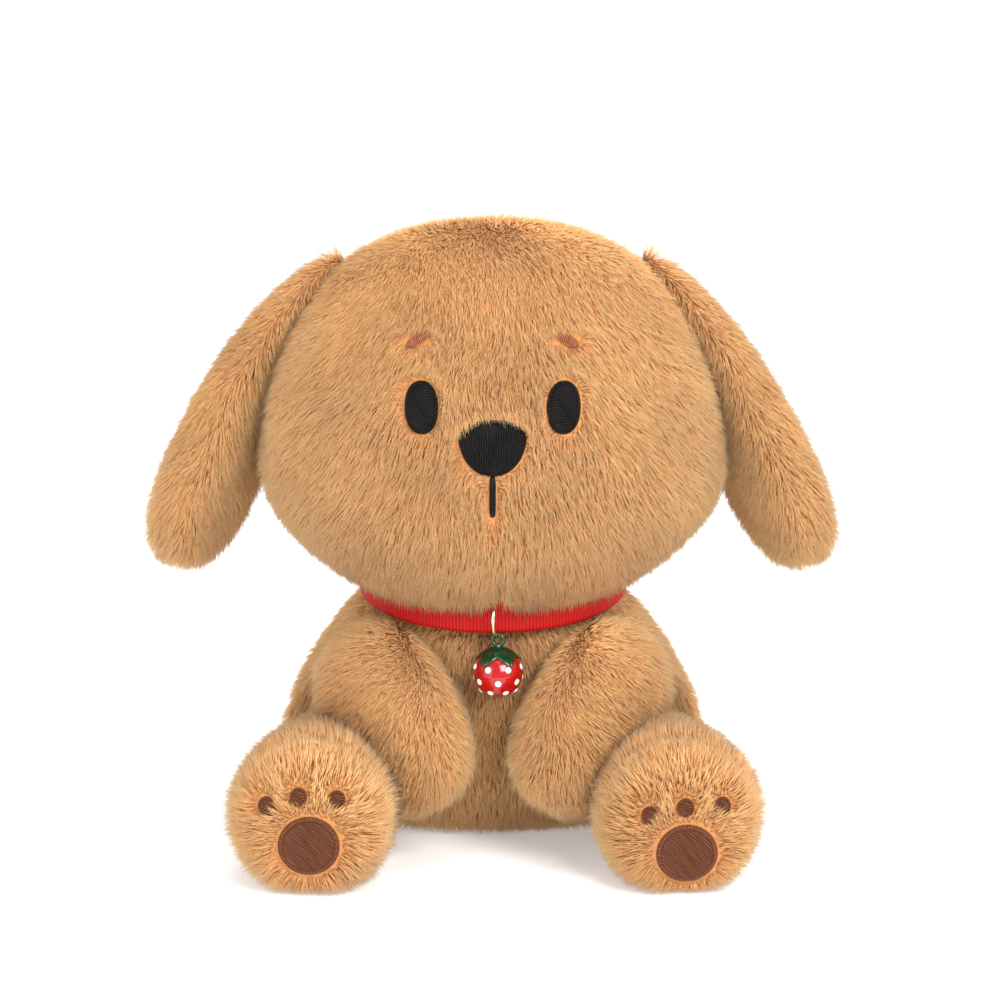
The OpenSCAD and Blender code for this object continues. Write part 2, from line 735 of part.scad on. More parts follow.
// Five pointed leaves pressed over the bell's top, with a stem for the loop
module leaf_cap() {
    color(enamel_green) at_bell() difference() {
        union() {
            intersection() {
                sphere(r = bell_d / 2 + leaf_t);
                cylinder(r = bell_d, h = bell_d);
                linear_extrude(bell_d) polygon([for (j = [0 : 2 * leaves - 1])
                    let (r = j % 2 == 0 ? bell_d * 0.42 : bell_d * 0.2, a = 180 * j / leaves + 18)
                    r * [cos(a), sin(a)]]);
            }
            cylinder(r = loop_wire, h = loop_up - loop_d / 2 + loop_wire / 2);
        }
        sphere(r = bell_d / 2 + panel_gap / 2);
        translate([0, 0, loop_up]) rotate([0, 0, 90]) torus(loop_d, loop_wire + panel_gap);
    }
}

module hanging_loop() {
    color(pale_gold) at_bell() translate([0, 0, loop_up]) rotate([0, 0, 90]) torus(loop_d, loop_wire);
}

// Rows of raised seed dots round the bell
module seed_dots() {
    for (row = [0 : 2], k = [0 : seeds_round - 1])
        color(enamel_white) at_bell()
            rotate([0, 0, 360 * (k + row % 2 / 2) / seeds_round]) rotate([0, 90 - seed_lat[row], 0])
                translate([0, 0, bell_d / 2 + panel_gap / 2]) cylinder(d = seed_d, h = seed_t, $fn = 16);
}

module bell_pellet() {
    color("silver") at_bell() translate([0, 0, -(bell_d - 2 * bell_wall - pellet_d) / 2 + joint_gap / 2])
        sphere(d = pellet_d);
}

belly_panel();
back_panel_left();
back_panel_right();
seat_panel();
torso_stuffing();
neck_wadding();
face_left();
face_right();
head_back_left();
head_back_right();
head_base();
head_stuffing();
eye_left();
eye_right();
nose_patch();
mouth_line();
brow_left();
brow_right();
ear_left_outer();
ear_left_lining();
ear_left_wadding();
ear_right_outer();
ear_right_lining();
ear_right_wadding();
arm_left_front();
arm_left_back();
arm_left_stuffing();
arm_right_front();
arm_right_back();
arm_right_stuffing();
leg_left_upper();
leg_left_under();
leg_left_sole();
leg_left_stuffing();
sole_pad_left();
toe_beans_left();
leg_right_upper();
leg_right_under();
leg_right_sole();
leg_right_stuffing();
sole_pad_right();
toe_beans_right();
tail_upper();
tail_under();
tail_stuffing();
collar_ribbon();
collar_overlap();
jump_ring();
bell_shell();
leaf_cap();
hanging_loop();
seed_dots();
bell_pellet();
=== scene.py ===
"""Seated plush dog: combed fur over stuffed shapes, satin-stitch face and paw prints,
a grosgrain ribbon collar, a jump ring and an enamelled strawberry bell."""

import math

import bpy
import numpy as np
from bpy.props import FloatProperty, FloatVectorProperty, PointerProperty
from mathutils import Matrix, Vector


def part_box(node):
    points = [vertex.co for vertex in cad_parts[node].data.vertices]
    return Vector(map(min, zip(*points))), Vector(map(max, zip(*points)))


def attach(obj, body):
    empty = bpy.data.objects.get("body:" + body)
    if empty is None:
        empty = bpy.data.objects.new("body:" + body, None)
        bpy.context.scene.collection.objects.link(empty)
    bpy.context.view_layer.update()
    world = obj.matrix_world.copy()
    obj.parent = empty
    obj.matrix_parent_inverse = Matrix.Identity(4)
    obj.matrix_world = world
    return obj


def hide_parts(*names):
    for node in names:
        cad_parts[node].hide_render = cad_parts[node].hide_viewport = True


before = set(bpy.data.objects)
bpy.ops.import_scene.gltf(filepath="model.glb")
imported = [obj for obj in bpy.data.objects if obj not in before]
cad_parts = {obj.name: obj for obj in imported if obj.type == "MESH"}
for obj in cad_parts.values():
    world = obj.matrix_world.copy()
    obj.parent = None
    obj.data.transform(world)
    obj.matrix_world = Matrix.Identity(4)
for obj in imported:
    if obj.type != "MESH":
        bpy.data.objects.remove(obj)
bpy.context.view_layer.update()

bl_info = {
    "name": "Plush Dog",
    "version": (1, 0, 0),
    "blender": (4, 5, 0),
    "location": "View3D > Sidebar > Plush Dog",
    "description": "Builds a seated plush dog with combed fur and a bell collar",
    "category": "Object",
}

MM = 0.001
SIDES = {"left": -1, "right": 1}


def middle_of(node):
    """The middle of a node's box, in millimetres."""
    low, high = (np.array(corner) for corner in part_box(node))
    return (low + high) / 2 / MM


MID_Y = middle_of("neck_wadding")[1]
INSET = 0.4  # the skins lie this far below the outline that the pile gives
UNDERSIDE = 1.0  # height of the lowest skin above the floor
FLOOR_GAP = 0.4  # no lock ends lower than this
HIP_SPREAD = math.radians(20)  # the dents for the legs in the torso turn this far out from straight ahead
COLLAR_TILT = math.radians(8)
BELL_TURN = math.radians(15)
# how far over the locks lie, in degrees from the surface's normal
LIE = {"head": 53, "torso": 50, "tail": 42, "ear": 52, "arm": 50, "leg": 48}
# heights on the face above the head's widest line, and the brows' spacing as a share of the eyes'
EYE_HIGH, BROW_HIGH, NOSE_HIGH, BROW_SPREAD = 22, 40, 11.2, 0.53


# ---------- sizes and colours ----------

def length(about, value):
    """A length in metres, given in millimetres."""
    return FloatProperty(description=about, default=value * MM, unit="LENGTH", subtype="DISTANCE")


def colour(about, value):
    """A colour given as red, green and blue on the usual 0 to 255 screen scale."""
    linear = [((c / 255 + 0.055) / 1.055) ** 2.4 for c in value]
    return FloatVectorProperty(description=about, default=linear, subtype="COLOR", size=3, min=0, max=1)


class DOG_body_sizes(bpy.types.PropertyGroup):
    """The stuffed shapes under the fur"""
    head_width: length("Full width of the head under its fur", 130)
    head_depth: length("Depth of the head, front to back", 100)
    head_high: length("Height of the head above its widest line", 67.5)
    head_low: length("Height of the head below its widest line", 43.5)
    head_z: length("Height of the head's widest line above the floor", 110)
    head_forward: length("How far the head sits in front of the neck", 8)
    torso_width: length("Full width of the torso", 122)
    torso_high: length("Height from the torso's widest line to its top", 60)
    neck_z: length("Height of the neck seam above the floor", 74)
    ear_drop: length("Drop of an ear from its seam to its tip", 88)
    ear_width: length("Width of an ear, front to back", 46)
    ear_thick: length("Thickness of an ear at its tip half", 20)
    ear_out: length("How far an ear's tip stands out past its seam", 46)
    arm_width: length("Width of an arm", 37)
    arm_thick: length("Thickness of an arm", 35)
    leg_width: length("Width of a leg behind its foot", 36)
    foot_width: length("Width of a foot", 47)
    foot_high: length("Height of a foot", 49)
    foot_reach: length("Distance of the soles in front of the neck", 84)
    foot_side: length("Distance of a foot's middle from the toy's middle", 50.5)
    tail_length: length("Length of the tail", 32)
    tail_width: length("Width of the tail", 22)


class DOG_fur(bpy.types.PropertyGroup):
    """The pile that covers every fabric panel"""
    pile: length("Length of a hair", 5.2)
    hair: length("Width of a lock of hairs at its root", 0.31)
    clump: length("Distance between the middles of neighbouring clumps", 1.7)
    front: FloatProperty(description="Locks per square millimetre where the toy faces forward", default=4.8)
    back: FloatProperty(description="Locks per square millimetre behind", default=1.9)
    # the darker roots hold painted shade down among the locks, and the lighter tips a painted highlight
    root: colour("Fur at its roots", (222, 158, 98))
    body: colour("Fur at half its length", (240, 180, 119))
    tip: colour("Fur at its tips", (253, 211, 154))


class DOG_trim(bpy.types.PropertyGroup):
    """Embroidery, ribbon, ring and bell"""
    thread: length("Distance between neighbouring stitches", 0.55)
    proud: length("How far the stitches stand out of the fabric", 0.9)
    eye_spacing: length("Distance between the middles of the eyes", 39.4)
    ribbon_width: length("Width of the ribbon", 9.5)
    ribbon_thick: length("Thickness of the ribbon", 0.6)
    collar_radius: length("Inner radius of the ribbon collar", 38.5)
    rib: length("Distance between neighbouring ribs of the ribbon", 1.0)
    bell: length("Outer diameter of the bell", 14)
    bell_wall: length("Wall of the bell", 0.8)
    slot: length("Width of the slot in the bell's underside", 1.2)
    wire: length("Wire diameter of the jump ring", 0.9)
    ring: length("Outer diameter of the jump ring", 12)
    loop: length("Outer diameter of the bell's eyelet", 4.4)
    seed: length("Diameter of a raised dot on the bell", 2.0)
    black: colour("Thread of the eyes, nose and mouth", (14, 13, 14))
    brown: colour("Thread of the paw prints", (92, 54, 36))
    brow: colour("Thread of the eyebrows", (146, 92, 68))
    red: colour("Colour of the ribbon", (178, 12, 10))
    enamel_red: colour("Colour of the bell", (172, 4, 4))
    enamel_green: colour("Colour of the bell's leaves", (4, 56, 30))


class DOG_stage(bpy.types.PropertyGroup):
    """Camera and light"""
    distance: length("Distance from the camera to the toy's middle", 1150)
    raise_angle: FloatProperty(description="Angle of the camera above level", default=math.radians(11.5),
                               subtype="ANGLE")
    lens: FloatProperty(description="Focal length in millimetres", default=142.0)
    key: FloatProperty(description="Power of the key light in watts", default=22.5, subtype="POWER")
    fill: FloatProperty(description="Power of the fill light in watts", default=7.0, subtype="POWER")


def sizes(group):
    """The values of a property group as a plain record, with lengths in millimetres."""
    values = {}
    for prop in group.bl_rna.properties:
        if prop.identifier in ("name", "rna_type"):
            continue
        value = getattr(group, prop.identifier)
        values[prop.identifier] = value / MM if getattr(prop, "unit", "NONE") == "LENGTH" else value
    return type("Sizes", (), values)


# ---------- shapes in millimetres, as arrays ----------

def unit(v):
    return v / np.maximum(np.linalg.norm(v, axis=-1, keepdims=True), 1e-9)


def dot(a, b):
    return (a * b).sum(-1, keepdims=True)


def smooth(x):
    """Smooth step: 0 below 0, 1 above 1, 3x^2 - 2x^3 between."""
    x = np.clip(x, 0, 1)
    return x * x * (3 - 2 * x)


def round_steps(n):
    """n even steps round a circle, as a row."""
    return (2 * np.pi * np.arange(n) / n)[None]


def rows_to(n, ends):
    """n + 1 shares of a length, closer together at both ends, that stop a small share short of them."""
    return ends + (1 - 2 * ends) * (1 - np.cos(np.pi * np.arange(n + 1) / n)) / 2


def bend(a, b, c, t):
    """Quadratic curve (1-t)^2 a + 2t(1-t) b + t^2 c."""
    return (1 - t) ** 2 * a + 2 * t * (1 - t) * b + t * t * c


def egg_points(egg, u, a, inset):
    """Points on an egg-like body. Latitude runs from -90 to 90 degrees as u runs from 0 to 1; the
    outline is a superellipse |x|^n + |z|^n = 1, squarer above its widest line, and squarer below
    it only towards the front; its sides narrow and its top leans back with height."""
    lat = np.pi * u - np.pi / 2
    below = 2 + egg["chin"] * np.maximum(0, -np.sin(a)) ** 2
    n = np.where(lat > 0, egg["round"], below)
    out = np.maximum(0, np.cos(lat)) ** (2 / n)
    rise = np.sign(lat) * np.abs(np.sin(lat)) ** (2 / n)
    z = rise * (np.where(lat > 0, egg["high"], egg["low"]) - inset)
    x = (egg["half"] - inset) * out * (1 - egg["taper"] * np.maximum(0, rise)) * np.cos(a)
    depth = np.where(np.sin(a) < 0, egg["front"], egg["rear"]) - inset
    y = depth * out * np.sin(a) - egg["lean"] * np.maximum(0, rise)
    return np.stack([x, y, z], -1) + egg["at"]


def limb_axis(limb, u, inset):
    """The middle line of a limb: a quadratic curve, shortened at both ends by inset, and its directions."""
    start, pull, end = limb["line"]
    u = np.asarray(u)[..., None]
    p0 = start + inset * unit(pull - start)
    p2 = end - inset * unit(end - pull)
    way = unit(2 * (1 - u) * (pull - p0) + 2 * u * (p2 - pull))
    across = unit(limb["side"] - dot(limb["side"], way) * way)
    return bend(p0, pull, p2, u), way, across, np.cross(way, across)


def limb_points(limb, u, a, inset):
    """Points on a stuffed limb: a superellipse across its middle line, whose half width and half
    thickness follow a quadratic curve and close at both ends as (1 - |2u-1|^n)^(1/n). The lower
    the blunt power of the cosine and sine is, the squarer the section."""
    centre, _, across, over = limb_axis(limb, u, inset)
    w = bend(*limb["wide"], u) - inset
    t = bend(*limb["thick"], u) - inset
    full = np.maximum(0, 1 - np.abs(2 * u - 1) ** limb["round"]) ** (1 / limb["round"])
    c, s = (np.sign(k) * np.abs(k) ** limb["blunt"] for k in (np.cos(a), np.sin(a)))
    return centre + full[..., None] * ((w * c)[..., None] * across + (t * s)[..., None] * over)


def dog_shapes(s):
    """The soft shapes of the toy, with the same sizes and places as its CAD model."""
    at = lambda x, y, z: np.array([x, y + MID_Y, z], float)
    shapes = {}
    shapes["head"] = dict(at=at(0, -s.head_forward, s.head_z), half=s.head_width / 2, front=s.head_depth / 2,
                          rear=s.head_depth / 2, high=s.head_high, low=s.head_low, round=2.3, taper=0,
                          lean=0, chin=0.5)
    shapes["torso"] = dict(at=at(0, 6, 24), half=s.torso_width / 2, front=38, rear=44, high=s.torso_high,
                           low=30, round=2.3, taper=0.25, lean=6, chin=0)
    for name, side in SIDES.items():
        root = egg_points(shapes["head"], np.array(0.79), np.radians(np.array(167.0)), -4.4)
        root = root * [-side, 1, 1] - [side, 0, 3]
        sag = 0.54 if side < 0 else 0.45
        shapes["ear_" + name] = dict(
            line=[root, root + [side * s.ear_out * sag, 0, -s.ear_drop * 0.22],
                  root + [side * (s.ear_out + 1.6), -2, 1 - s.ear_drop]],
            wide=[s.ear_width * 0.3, s.ear_width * 0.52, s.ear_width * 0.56],
            thick=[3.0, s.ear_thick * 0.34, s.ear_thick * 0.56],
            side=np.array([side * 0.35, -0.94, 0]), round=3, blunt=0.62)
        paw = 16.5 if side < 0 else 15
        shapes["arm_" + name] = dict(
            line=[at(side * 34, -8, 52), at(side * 34, -44, 49), at(side * paw, -53, 19)],
            wide=[s.arm_width * 0.44, s.arm_width * 0.5, s.arm_width * 0.5],
            thick=[s.arm_thick * 0.44, s.arm_thick * 0.5, s.arm_thick * 0.5],
            side=np.array([1.0, 0, 0]), round=2.7, blunt=1)
        shapes["leg_" + name] = dict(
            line=[at(side * 31, 8, 19), at(side * 50, -32, 18),
                  at(side * (s.foot_side + 1) + 1, -s.foot_reach, s.foot_high / 2 - 2)],
            wide=[s.leg_width / 2, s.leg_width * 0.34, s.foot_width * 0.56],
            thick=[s.leg_width * 0.54, s.leg_width * 0.46, s.foot_high * 0.56],
            side=np.array([1.0, 0, 0]), round=4, blunt=1)
    seam = 39
    shapes["tail"] = dict(
        line=[at(0, seam, 14), at(0, seam + 6 + s.tail_length * 0.4, 11),
              at(0, seam + s.tail_length, s.tail_width / 2 + 9)],
        wide=[s.tail_width * k for k in (0.4, 0.5, 0.5)], thick=[s.tail_width * k for k in (0.4, 0.45, 0.5)],
        side=np.array([1.0, 0, 0]), round=2.6, blunt=1)
    return shapes


# ---------- skins ----------

def closed_tube(points, start, end):
    """A closed skin over a grid of rings, with one point at each end. Returns points and triangles."""
    rows, cols = points.shape[:2]
    i = np.arange(rows - 1)[:, None] * cols + 1
    j = np.arange(cols)[None]
    k = (j + 1) % cols
    a, b, c, d = i + j, i + k, i + cols + j, i + cols + k
    body = np.stack([np.stack([a, b, c], -1), np.stack([b, d, c], -1)], 2).reshape(-1, 3)
    last = rows * cols + 1
    first_cap = np.stack([0 * j[0], 1 + k[0], 1 + j[0]], -1)
    top = 1 + (rows - 1) * cols
    last_cap = np.stack([top + j[0], top + k[0], 0 * j[0] + last], -1)
    verts = np.vstack([start[None], points.reshape(-1, 3), end[None]])
    return verts, np.vstack([first_cap, body, last_cap])


def joined_round(points):
    """A closed skin over a grid that joins up both ways, as on a ring. Returns points and triangles."""
    rows, cols = points.shape[:2]
    i, j = np.meshgrid(np.arange(rows), np.arange(cols), indexing="ij")
    i2, j2 = (i + 1) % rows, (j + 1) % cols
    a, b, c, d = i * cols + j, i * cols + j2, i2 * cols + j, i2 * cols + j2
    tris = np.stack([np.stack([a, b, c], -1), np.stack([b, d, c], -1)], 2).reshape(-1, 3)
    return points.reshape(-1, 3), tris


def facing_out(verts, tris):
    """The same triangles, turned round if the skin they close has a negative volume."""
    p = verts[tris]
    volume = (p[:, 0] * np.cross(p[:, 1], p[:, 2])).sum()
    return tris if volume > 0 else tris[:, ::-1]


def skin_normals(verts, tris):
    """Area-weighted normals at the points of a skin."""
    p = verts[tris]
    face = np.cross(p[:, 1] - p[:, 0], p[:, 2] - p[:, 0])
    total = np.zeros_like(verts)
    for corner in range(3):
        np.add.at(total, tris[:, corner], face)
    return unit(total)


def skin_over(points_at, shape, u, cols, inset):
    """A closed skin whose rings lie at the shares u of a shape's length."""
    u, a = u[:, None], round_steps(cols)
    grid = points_at(shape, u + 0 * a, a + 0 * u, inset)
    ends = [points_at(shape, np.array(t), np.array(0.0), inset) for t in (0.0, 1.0)]
    verts, tris = closed_tube(grid, *ends)
    return verts, facing_out(verts, tris)


def egg_skin(egg, rows=110, cols=150, ends=0.004):
    return skin_over(egg_points, egg, ends + (1 - 2 * ends) * np.linspace(0, 1, rows), cols, INSET)


def limb_skin(limb, rows=72, cols=96, ends=0.003):
    return skin_over(limb_points, limb, rows_to(rows, ends), cols, INSET)


def press_in(verts, core, balls, softness=3):
    """Presses a skin in where balls stand in it: each point keeps its direction from the core, and
    its distance becomes a smooth minimum of its own and of the distance at which that direction
    first meets a ball, from |core + t way - centre| = radius."""
    ray = verts - core
    reach = np.linalg.norm(ray, axis=1)
    way = ray / np.maximum(reach, 1e-6)[:, None]
    for centre, radius in balls:
        to = centre - core
        along = way @ to
        gap = along ** 2 - (to @ to - radius ** 2)
        hit = np.where((gap > 0) & (along > 0), along - np.sqrt(np.maximum(gap, 0)), 1e6)
        near = np.clip(0.5 + 0.5 * (hit - reach) / softness, 0, 1)
        mixed = hit * (1 - near) + reach * near - softness * near * (1 - near)
        reach = np.where(hit < 1e5, mixed, reach)
    return core + way * reach[:, None]


def push_off(verts, egg, clear):
    """Pushes points out of an egg-like body: inside it (|x/a|^2 + |y/b|^2)^(n/2) + |z/c|^n is below
    1, and such a point is scaled away from the middle by that sum to the power -1/n."""
    rel = verts - egg["at"]
    x, y, z = rel.T
    depth = np.where(y < 0, egg["front"], egg["rear"]) + clear
    flat = (x / (egg["half"] + clear)) ** 2 + (y / depth) ** 2
    n = np.where(z > 0, egg["round"], 2)
    total = flat ** (n / 2) + np.abs(z / (np.where(z > 0, egg["high"], egg["low"]) + clear)) ** n
    return egg["at"] + rel * np.maximum(1, np.maximum(total, 1e-6) ** (-1 / n))[:, None]


def ball_row(a, b, ra, rb, n):
    """Balls along a straight line whose radius changes evenly."""
    return [(a + (b - a) * t, ra + (rb - ra) * t) for t in np.linspace(0, 1, n)]


def limb_balls(limb, shares, clear):
    """Balls inside a limb that fill it at the given shares of its length, grown by a clearance."""
    balls = []
    for u in shares:
        centre = limb_axis(limb, np.array(u), 0)[0]
        full = (1 - abs(2 * u - 1) ** limb["round"]) ** (1 / limb["round"])
        balls.append((centre, bend(*limb["wide"], u) * full + clear))
    return balls


def body_skins(s, shapes):
    """The skins that the fur grows from, a little below the furry outline. Limbs press dents in
    the torso, paws press dents in the legs, and what lies on the floor is flat."""
    skins = {}
    verts, tris = egg_skin(shapes["head"], 150, 200)
    skins["head"] = (sculpt_head(verts, shapes["head"]), tris)
    verts, tris = egg_skin(shapes["torso"])
    core = shapes["torso"]["at"] + [0, 10, 14]
    for name, side in SIDES.items():
        hip = np.array([side * 32, 4 + MID_Y, 24.6])
        knee = hip + 46 * np.array([side * math.sin(HIP_SPREAD), -math.cos(HIP_SPREAD), 0])
        arm = shapes["arm_" + name]
        verts = press_in(verts, core, ball_row(hip + (knee - hip) * 0.4, knee, 22, 21, 6))
        verts = press_in(verts, core, limb_balls(arm, np.linspace(0.35, 0.85, 7), 0))
    verts[:, 2] = np.clip(verts[:, 2], UNDERSIDE, s.neck_z)
    skins["torso"] = (verts, tris)
    for name in SIDES:
        ear, arm, leg = (shapes[part + name] for part in ("ear_", "arm_", "leg_"))
        verts, tris = limb_skin(ear)
        skins["ear_" + name] = (push_off(verts, shapes["head"], 0.8), tris)
        skins["arm_" + name] = limb_skin(arm)
        verts, tris = limb_skin(leg, 90, 110)
        core = limb_axis(leg, np.array(0.62), 0)[0]
        verts = press_in(verts, core, limb_balls(arm, np.linspace(0.15, 0.88, 9), 0.2))
        verts = toe_seam(verts, s)
        verts[:, 2] = np.maximum(verts[:, 2], UNDERSIDE)
        skins["leg_" + name] = (verts, tris)
    skins["tail"] = limb_skin(shapes["tail"], 40, 60)
    return skins


def sculpt_head(verts, egg):
    """Adds a soft muzzle swell below the nose, exp(-(x/a)^2 - (z/b)^2) forward, and a chin dart: a
    narrow groove of the same form a little right of the middle. The cheeks narrow below."""
    x, y, z = (verts - egg["at"]).T
    front = smooth((-y - 20) / 20)
    swell = 1.6 * np.exp(-(x / 24) ** 2 - ((z + 20) / 13) ** 2) * front
    dart = 1.8 * np.exp(-((x - 2) / 1.5) ** 2) * smooth((-z - 22) / 8) * smooth((-y - 5) / 20)
    verts = verts.copy()
    verts[:, 0] -= 0.045 * x * smooth((-z - 8) / 26)
    verts[:, 1] -= swell - dart
    verts[:, 2] += dart * 0.5
    return verts


def toe_seam(verts, s):
    """A groove round each foot where the sole is sewn on: points near the seam's plane move in
    towards the foot's middle line by exp(-(distance / width)^2)."""
    seam = MID_Y + 9 - s.foot_reach
    depth = 1.5 * np.exp(-((verts[:, 1] - seam) / 1.6) ** 2)
    side = np.sign(verts[:, 0]) * (s.foot_side + 1)
    middle = np.stack([side, verts[:, 1], np.full(len(verts), s.foot_high / 2)], -1)
    return verts + unit(middle - verts) * depth[:, None]


# ---------- fur ----------

def waves(p, size, seed):
    """Slow variation, mostly from -1 to 1: a mean of six sines in random directions, about one
    size across."""
    rng = np.random.default_rng(seed)
    ways = unit(rng.normal(size=(6, 3))) * 2 * np.pi / size
    phase = rng.uniform(0, 2 * np.pi, 6)
    return np.sin(p @ ways.T + phase).mean(1) * 1.7


def scatter(verts, tris, density, seed):
    """Random places on a skin with their normals: triangles are drawn by area times density, and
    places in them by the square-root rule for even spread."""
    rng = np.random.default_rng(seed)
    normals = skin_normals(verts, tris)
    p = verts[tris]
    cross = np.cross(p[:, 1] - p[:, 0], p[:, 2] - p[:, 0])
    area = np.linalg.norm(cross, axis=1) / 2
    weight = area * density(p.mean(1), unit(cross))
    total = np.cumsum(weight)
    count = int(total[-1])
    pick = np.minimum(np.searchsorted(total, rng.uniform(0, total[-1], count)), len(tris) - 1)
    r, q = np.sqrt(rng.uniform(size=count)), rng.uniform(size=count)
    share = np.stack([1 - r, r * (1 - q), r * q], -1)[..., None]
    return (verts[tris[pick]] * share).sum(1), unit((normals[tris[pick]] * share).sum(1)), rng


def grow(p, n, rng, comb, fur, long, lie):
    """Straight tapering locks. Each leans from the normal by the lie angle along the comb, with
    random spread, and its tip is drawn towards the middle of its clump, so that darker gaps open
    between clumps. Returns root places, tips and a tone for each lock."""
    along = unit(comb - dot(comb, n) * n)
    cell = fur.clump
    warped = p / cell + 0.6 * np.stack([waves(p, cell * 5, k) for k in (1, 2, 3)], -1)
    home = np.floor(warped)
    # one repeatable number from 0 to 1 for each clump, and a second one from it
    chance = np.modf(np.abs(np.sin(home @ np.array([12.9898, 78.233, 37.719])) * 43758.5453))[0]
    chance2 = np.modf(chance * 917.13)[0]
    pull = (home + 0.5 - warped) * cell
    pull = pull - dot(pull, n) * n
    lie = (lie + 0.36 * smooth((n[:, 2:] - 0.1) / 0.6) + 0.06 * waves(p, 14, 5)[:, None]
           + rng.normal(0, 0.09, (len(p), 1)) + (chance2[:, None] - 0.5) * 0.12)
    sway = 0.2 * waves(p, 24, 6)[:, None] + 0.2 * (chance[:, None] - 0.5)
    along = unit(along + sway * np.cross(n, along))
    way = unit(np.cos(lie) * n + np.sin(lie) * along + rng.normal(0, 0.12, p.shape))
    reach = long * (0.82 + 0.36 * rng.uniform(size=len(p))) * (0.9 + 0.2 * chance)
    tip = p + way * reach[:, None] + pull * 0.2
    tone = (0.5 + 0.12 * waves(p, 30, 8) + 0.06 * waves(p, 7, 9) + 0.12 * (chance - 0.5)
            + 0.5 * (rng.uniform(size=len(p)) - 0.5))
    return tip, np.clip(tone, 0.03, 0.97)


def lock_mesh(name, body, roots, tips, tone, width, rng):
    """One piece of closed three-sided spikes. Their UV map runs from root to tip along U and holds
    the lock's tone along V."""
    count = len(roots)
    way = unit(tips - roots)
    helper = np.where(np.abs(way[:, 2:3]) < 0.9, [[0, 0, 1.0]], [[1.0, 0, 0]])
    e1 = unit(np.cross(way, helper))
    e2 = np.cross(way, e1)
    spin = rng.uniform(0, 2 * np.pi, count)
    points = np.empty((count, 4, 3))
    for k in range(3):
        turn = spin + 2 * np.pi * k / 3
        points[:, k] = roots + width[:, None] / 2 * (np.cos(turn)[:, None] * e1 + np.sin(turn)[:, None] * e2)
    points[:, 3] = tips
    corner = np.array([[0, 1, 3], [1, 2, 3], [2, 0, 3], [0, 2, 1]])
    tris = (np.arange(count)[:, None, None] * 4 + corner).reshape(-1, 3)
    along = np.array([[0.02, 0.02, 0.98]] * 3 + [[0.01, 0.03, 0.02]])
    across = np.array([[-0.01, 0.01, 0.0]] * 3 + [[-0.01, 0.0, 0.01]])
    uv = np.empty((count, 4, 3, 2))
    uv[..., 0] = along
    uv[..., 1] = tone[:, None, None] + across
    finished(name, points.reshape(-1, 3), tris, "plush_pile", body, "fur", uvs={"OFBake": uv.reshape(-1, 2)})


def front_weight(fur, normal):
    """Density of locks: full where the surface faces forward or up, less behind and below."""
    seen = smooth((0.55 - normal[:, 1]) / 0.9) * smooth((normal[:, 2] + 1.15) / 0.5)
    return fur.back + (fur.front - fur.back) * seen


def keep_out(places, tips, balls):
    """Marks the locks whose tip or middle stays outside every ball."""
    free = np.ones(len(tips), bool)
    for centre, radius in balls:
        for point in (tips, (places + tips) / 2):
            free &= np.linalg.norm(point - centre, axis=1) > radius
    return free


def furry(d, body, comb, seed, long=None, density=None, parts=1, keep=None, lift=None):
    """Grows fur on a body's skin in one or more pieces. comb gives a direction for each place,
    long a length factor and density a density factor. keep marks the locks to keep, and lift
    turns a comb into one that leans away from embroidery."""
    part = body.split("_")[0]
    name = body.replace(part, part + "_pile")
    fur, (verts, tris) = d.fur, d.skins[body]
    weigh = lambda c, n: front_weight(fur, n) * (density(c, n) if density else 1)
    p, n, rng = scatter(verts, tris, weigh, seed)
    flow = comb(p, n)
    reach = np.full(len(p), fur.pile)
    if long:
        reach = reach * long(p, n)
    if lift:
        flow, reach = lift(p, flow, reach)
    tips, tone = grow(p, n, rng, flow, fur, reach, math.radians(LIE[part]))
    tips[:, 2] = np.maximum(tips[:, 2], FLOOR_GAP)
    keeping = reach > fur.pile * 0.12
    if keep:
        keeping &= keep(p, tips)
    behind = smooth((n[:, 1] - 0.1) / 0.7)
    width = fur.hair * (1 + 0.55 * behind)
    order = np.argsort(p[:, 0] * 0.6 + p[:, 2]) if parts > 1 else np.arange(len(p))
    order = order[keeping[order]]
    for k, chosen in enumerate(np.array_split(order, parts)):
        label = name if parts == 1 else f"{name}_{k + 1}"
        lock_mesh(label, body, p[chosen], tips[chosen], tone[chosen], width[chosen], rng)


# ---------- pieces and materials ----------

def new_piece(name, points, faces, uvs=None):
    """A mesh object at the origin from points in millimetres and triangles or quads."""
    points = np.asarray(points, float)
    faces = np.asarray(faces)
    mesh = bpy.data.meshes.new(name)
    corners = faces.shape[1]
    mesh.vertices.add(len(points))
    mesh.vertices.foreach_set("co", (points * MM).astype(np.float32).ravel())
    mesh.loops.add(faces.size)
    mesh.loops.foreach_set("vertex_index", faces.astype(np.int32).ravel())
    mesh.polygons.add(len(faces))
    mesh.polygons.foreach_set("loop_start", np.arange(0, faces.size, corners, dtype=np.int32))
    for title, values in (uvs or {}).items():
        layer = mesh.uv_layers.new(name=title)
        layer.data.foreach_set("uv", np.asarray(values, np.float32).ravel())
    mesh.update(calc_edges=True)
    mesh.polygons.foreach_set("use_smooth", np.full(len(faces), True))
    piece = bpy.data.objects.new(name, mesh)
    bpy.context.scene.collection.objects.link(piece)
    return piece


def finished(name, points, faces, material, body, slot, nodes=(), uvs=None):
    """A new piece with its material and its body; it stands for CAD nodes, which are hidden. The finish slot is not
    used.
    """
    piece = new_piece(name, points, faces, uvs)
    piece.data.materials.append(bpy.data.materials[material])
    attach(piece, body)
    if nodes:
        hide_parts(*nodes)
    return piece


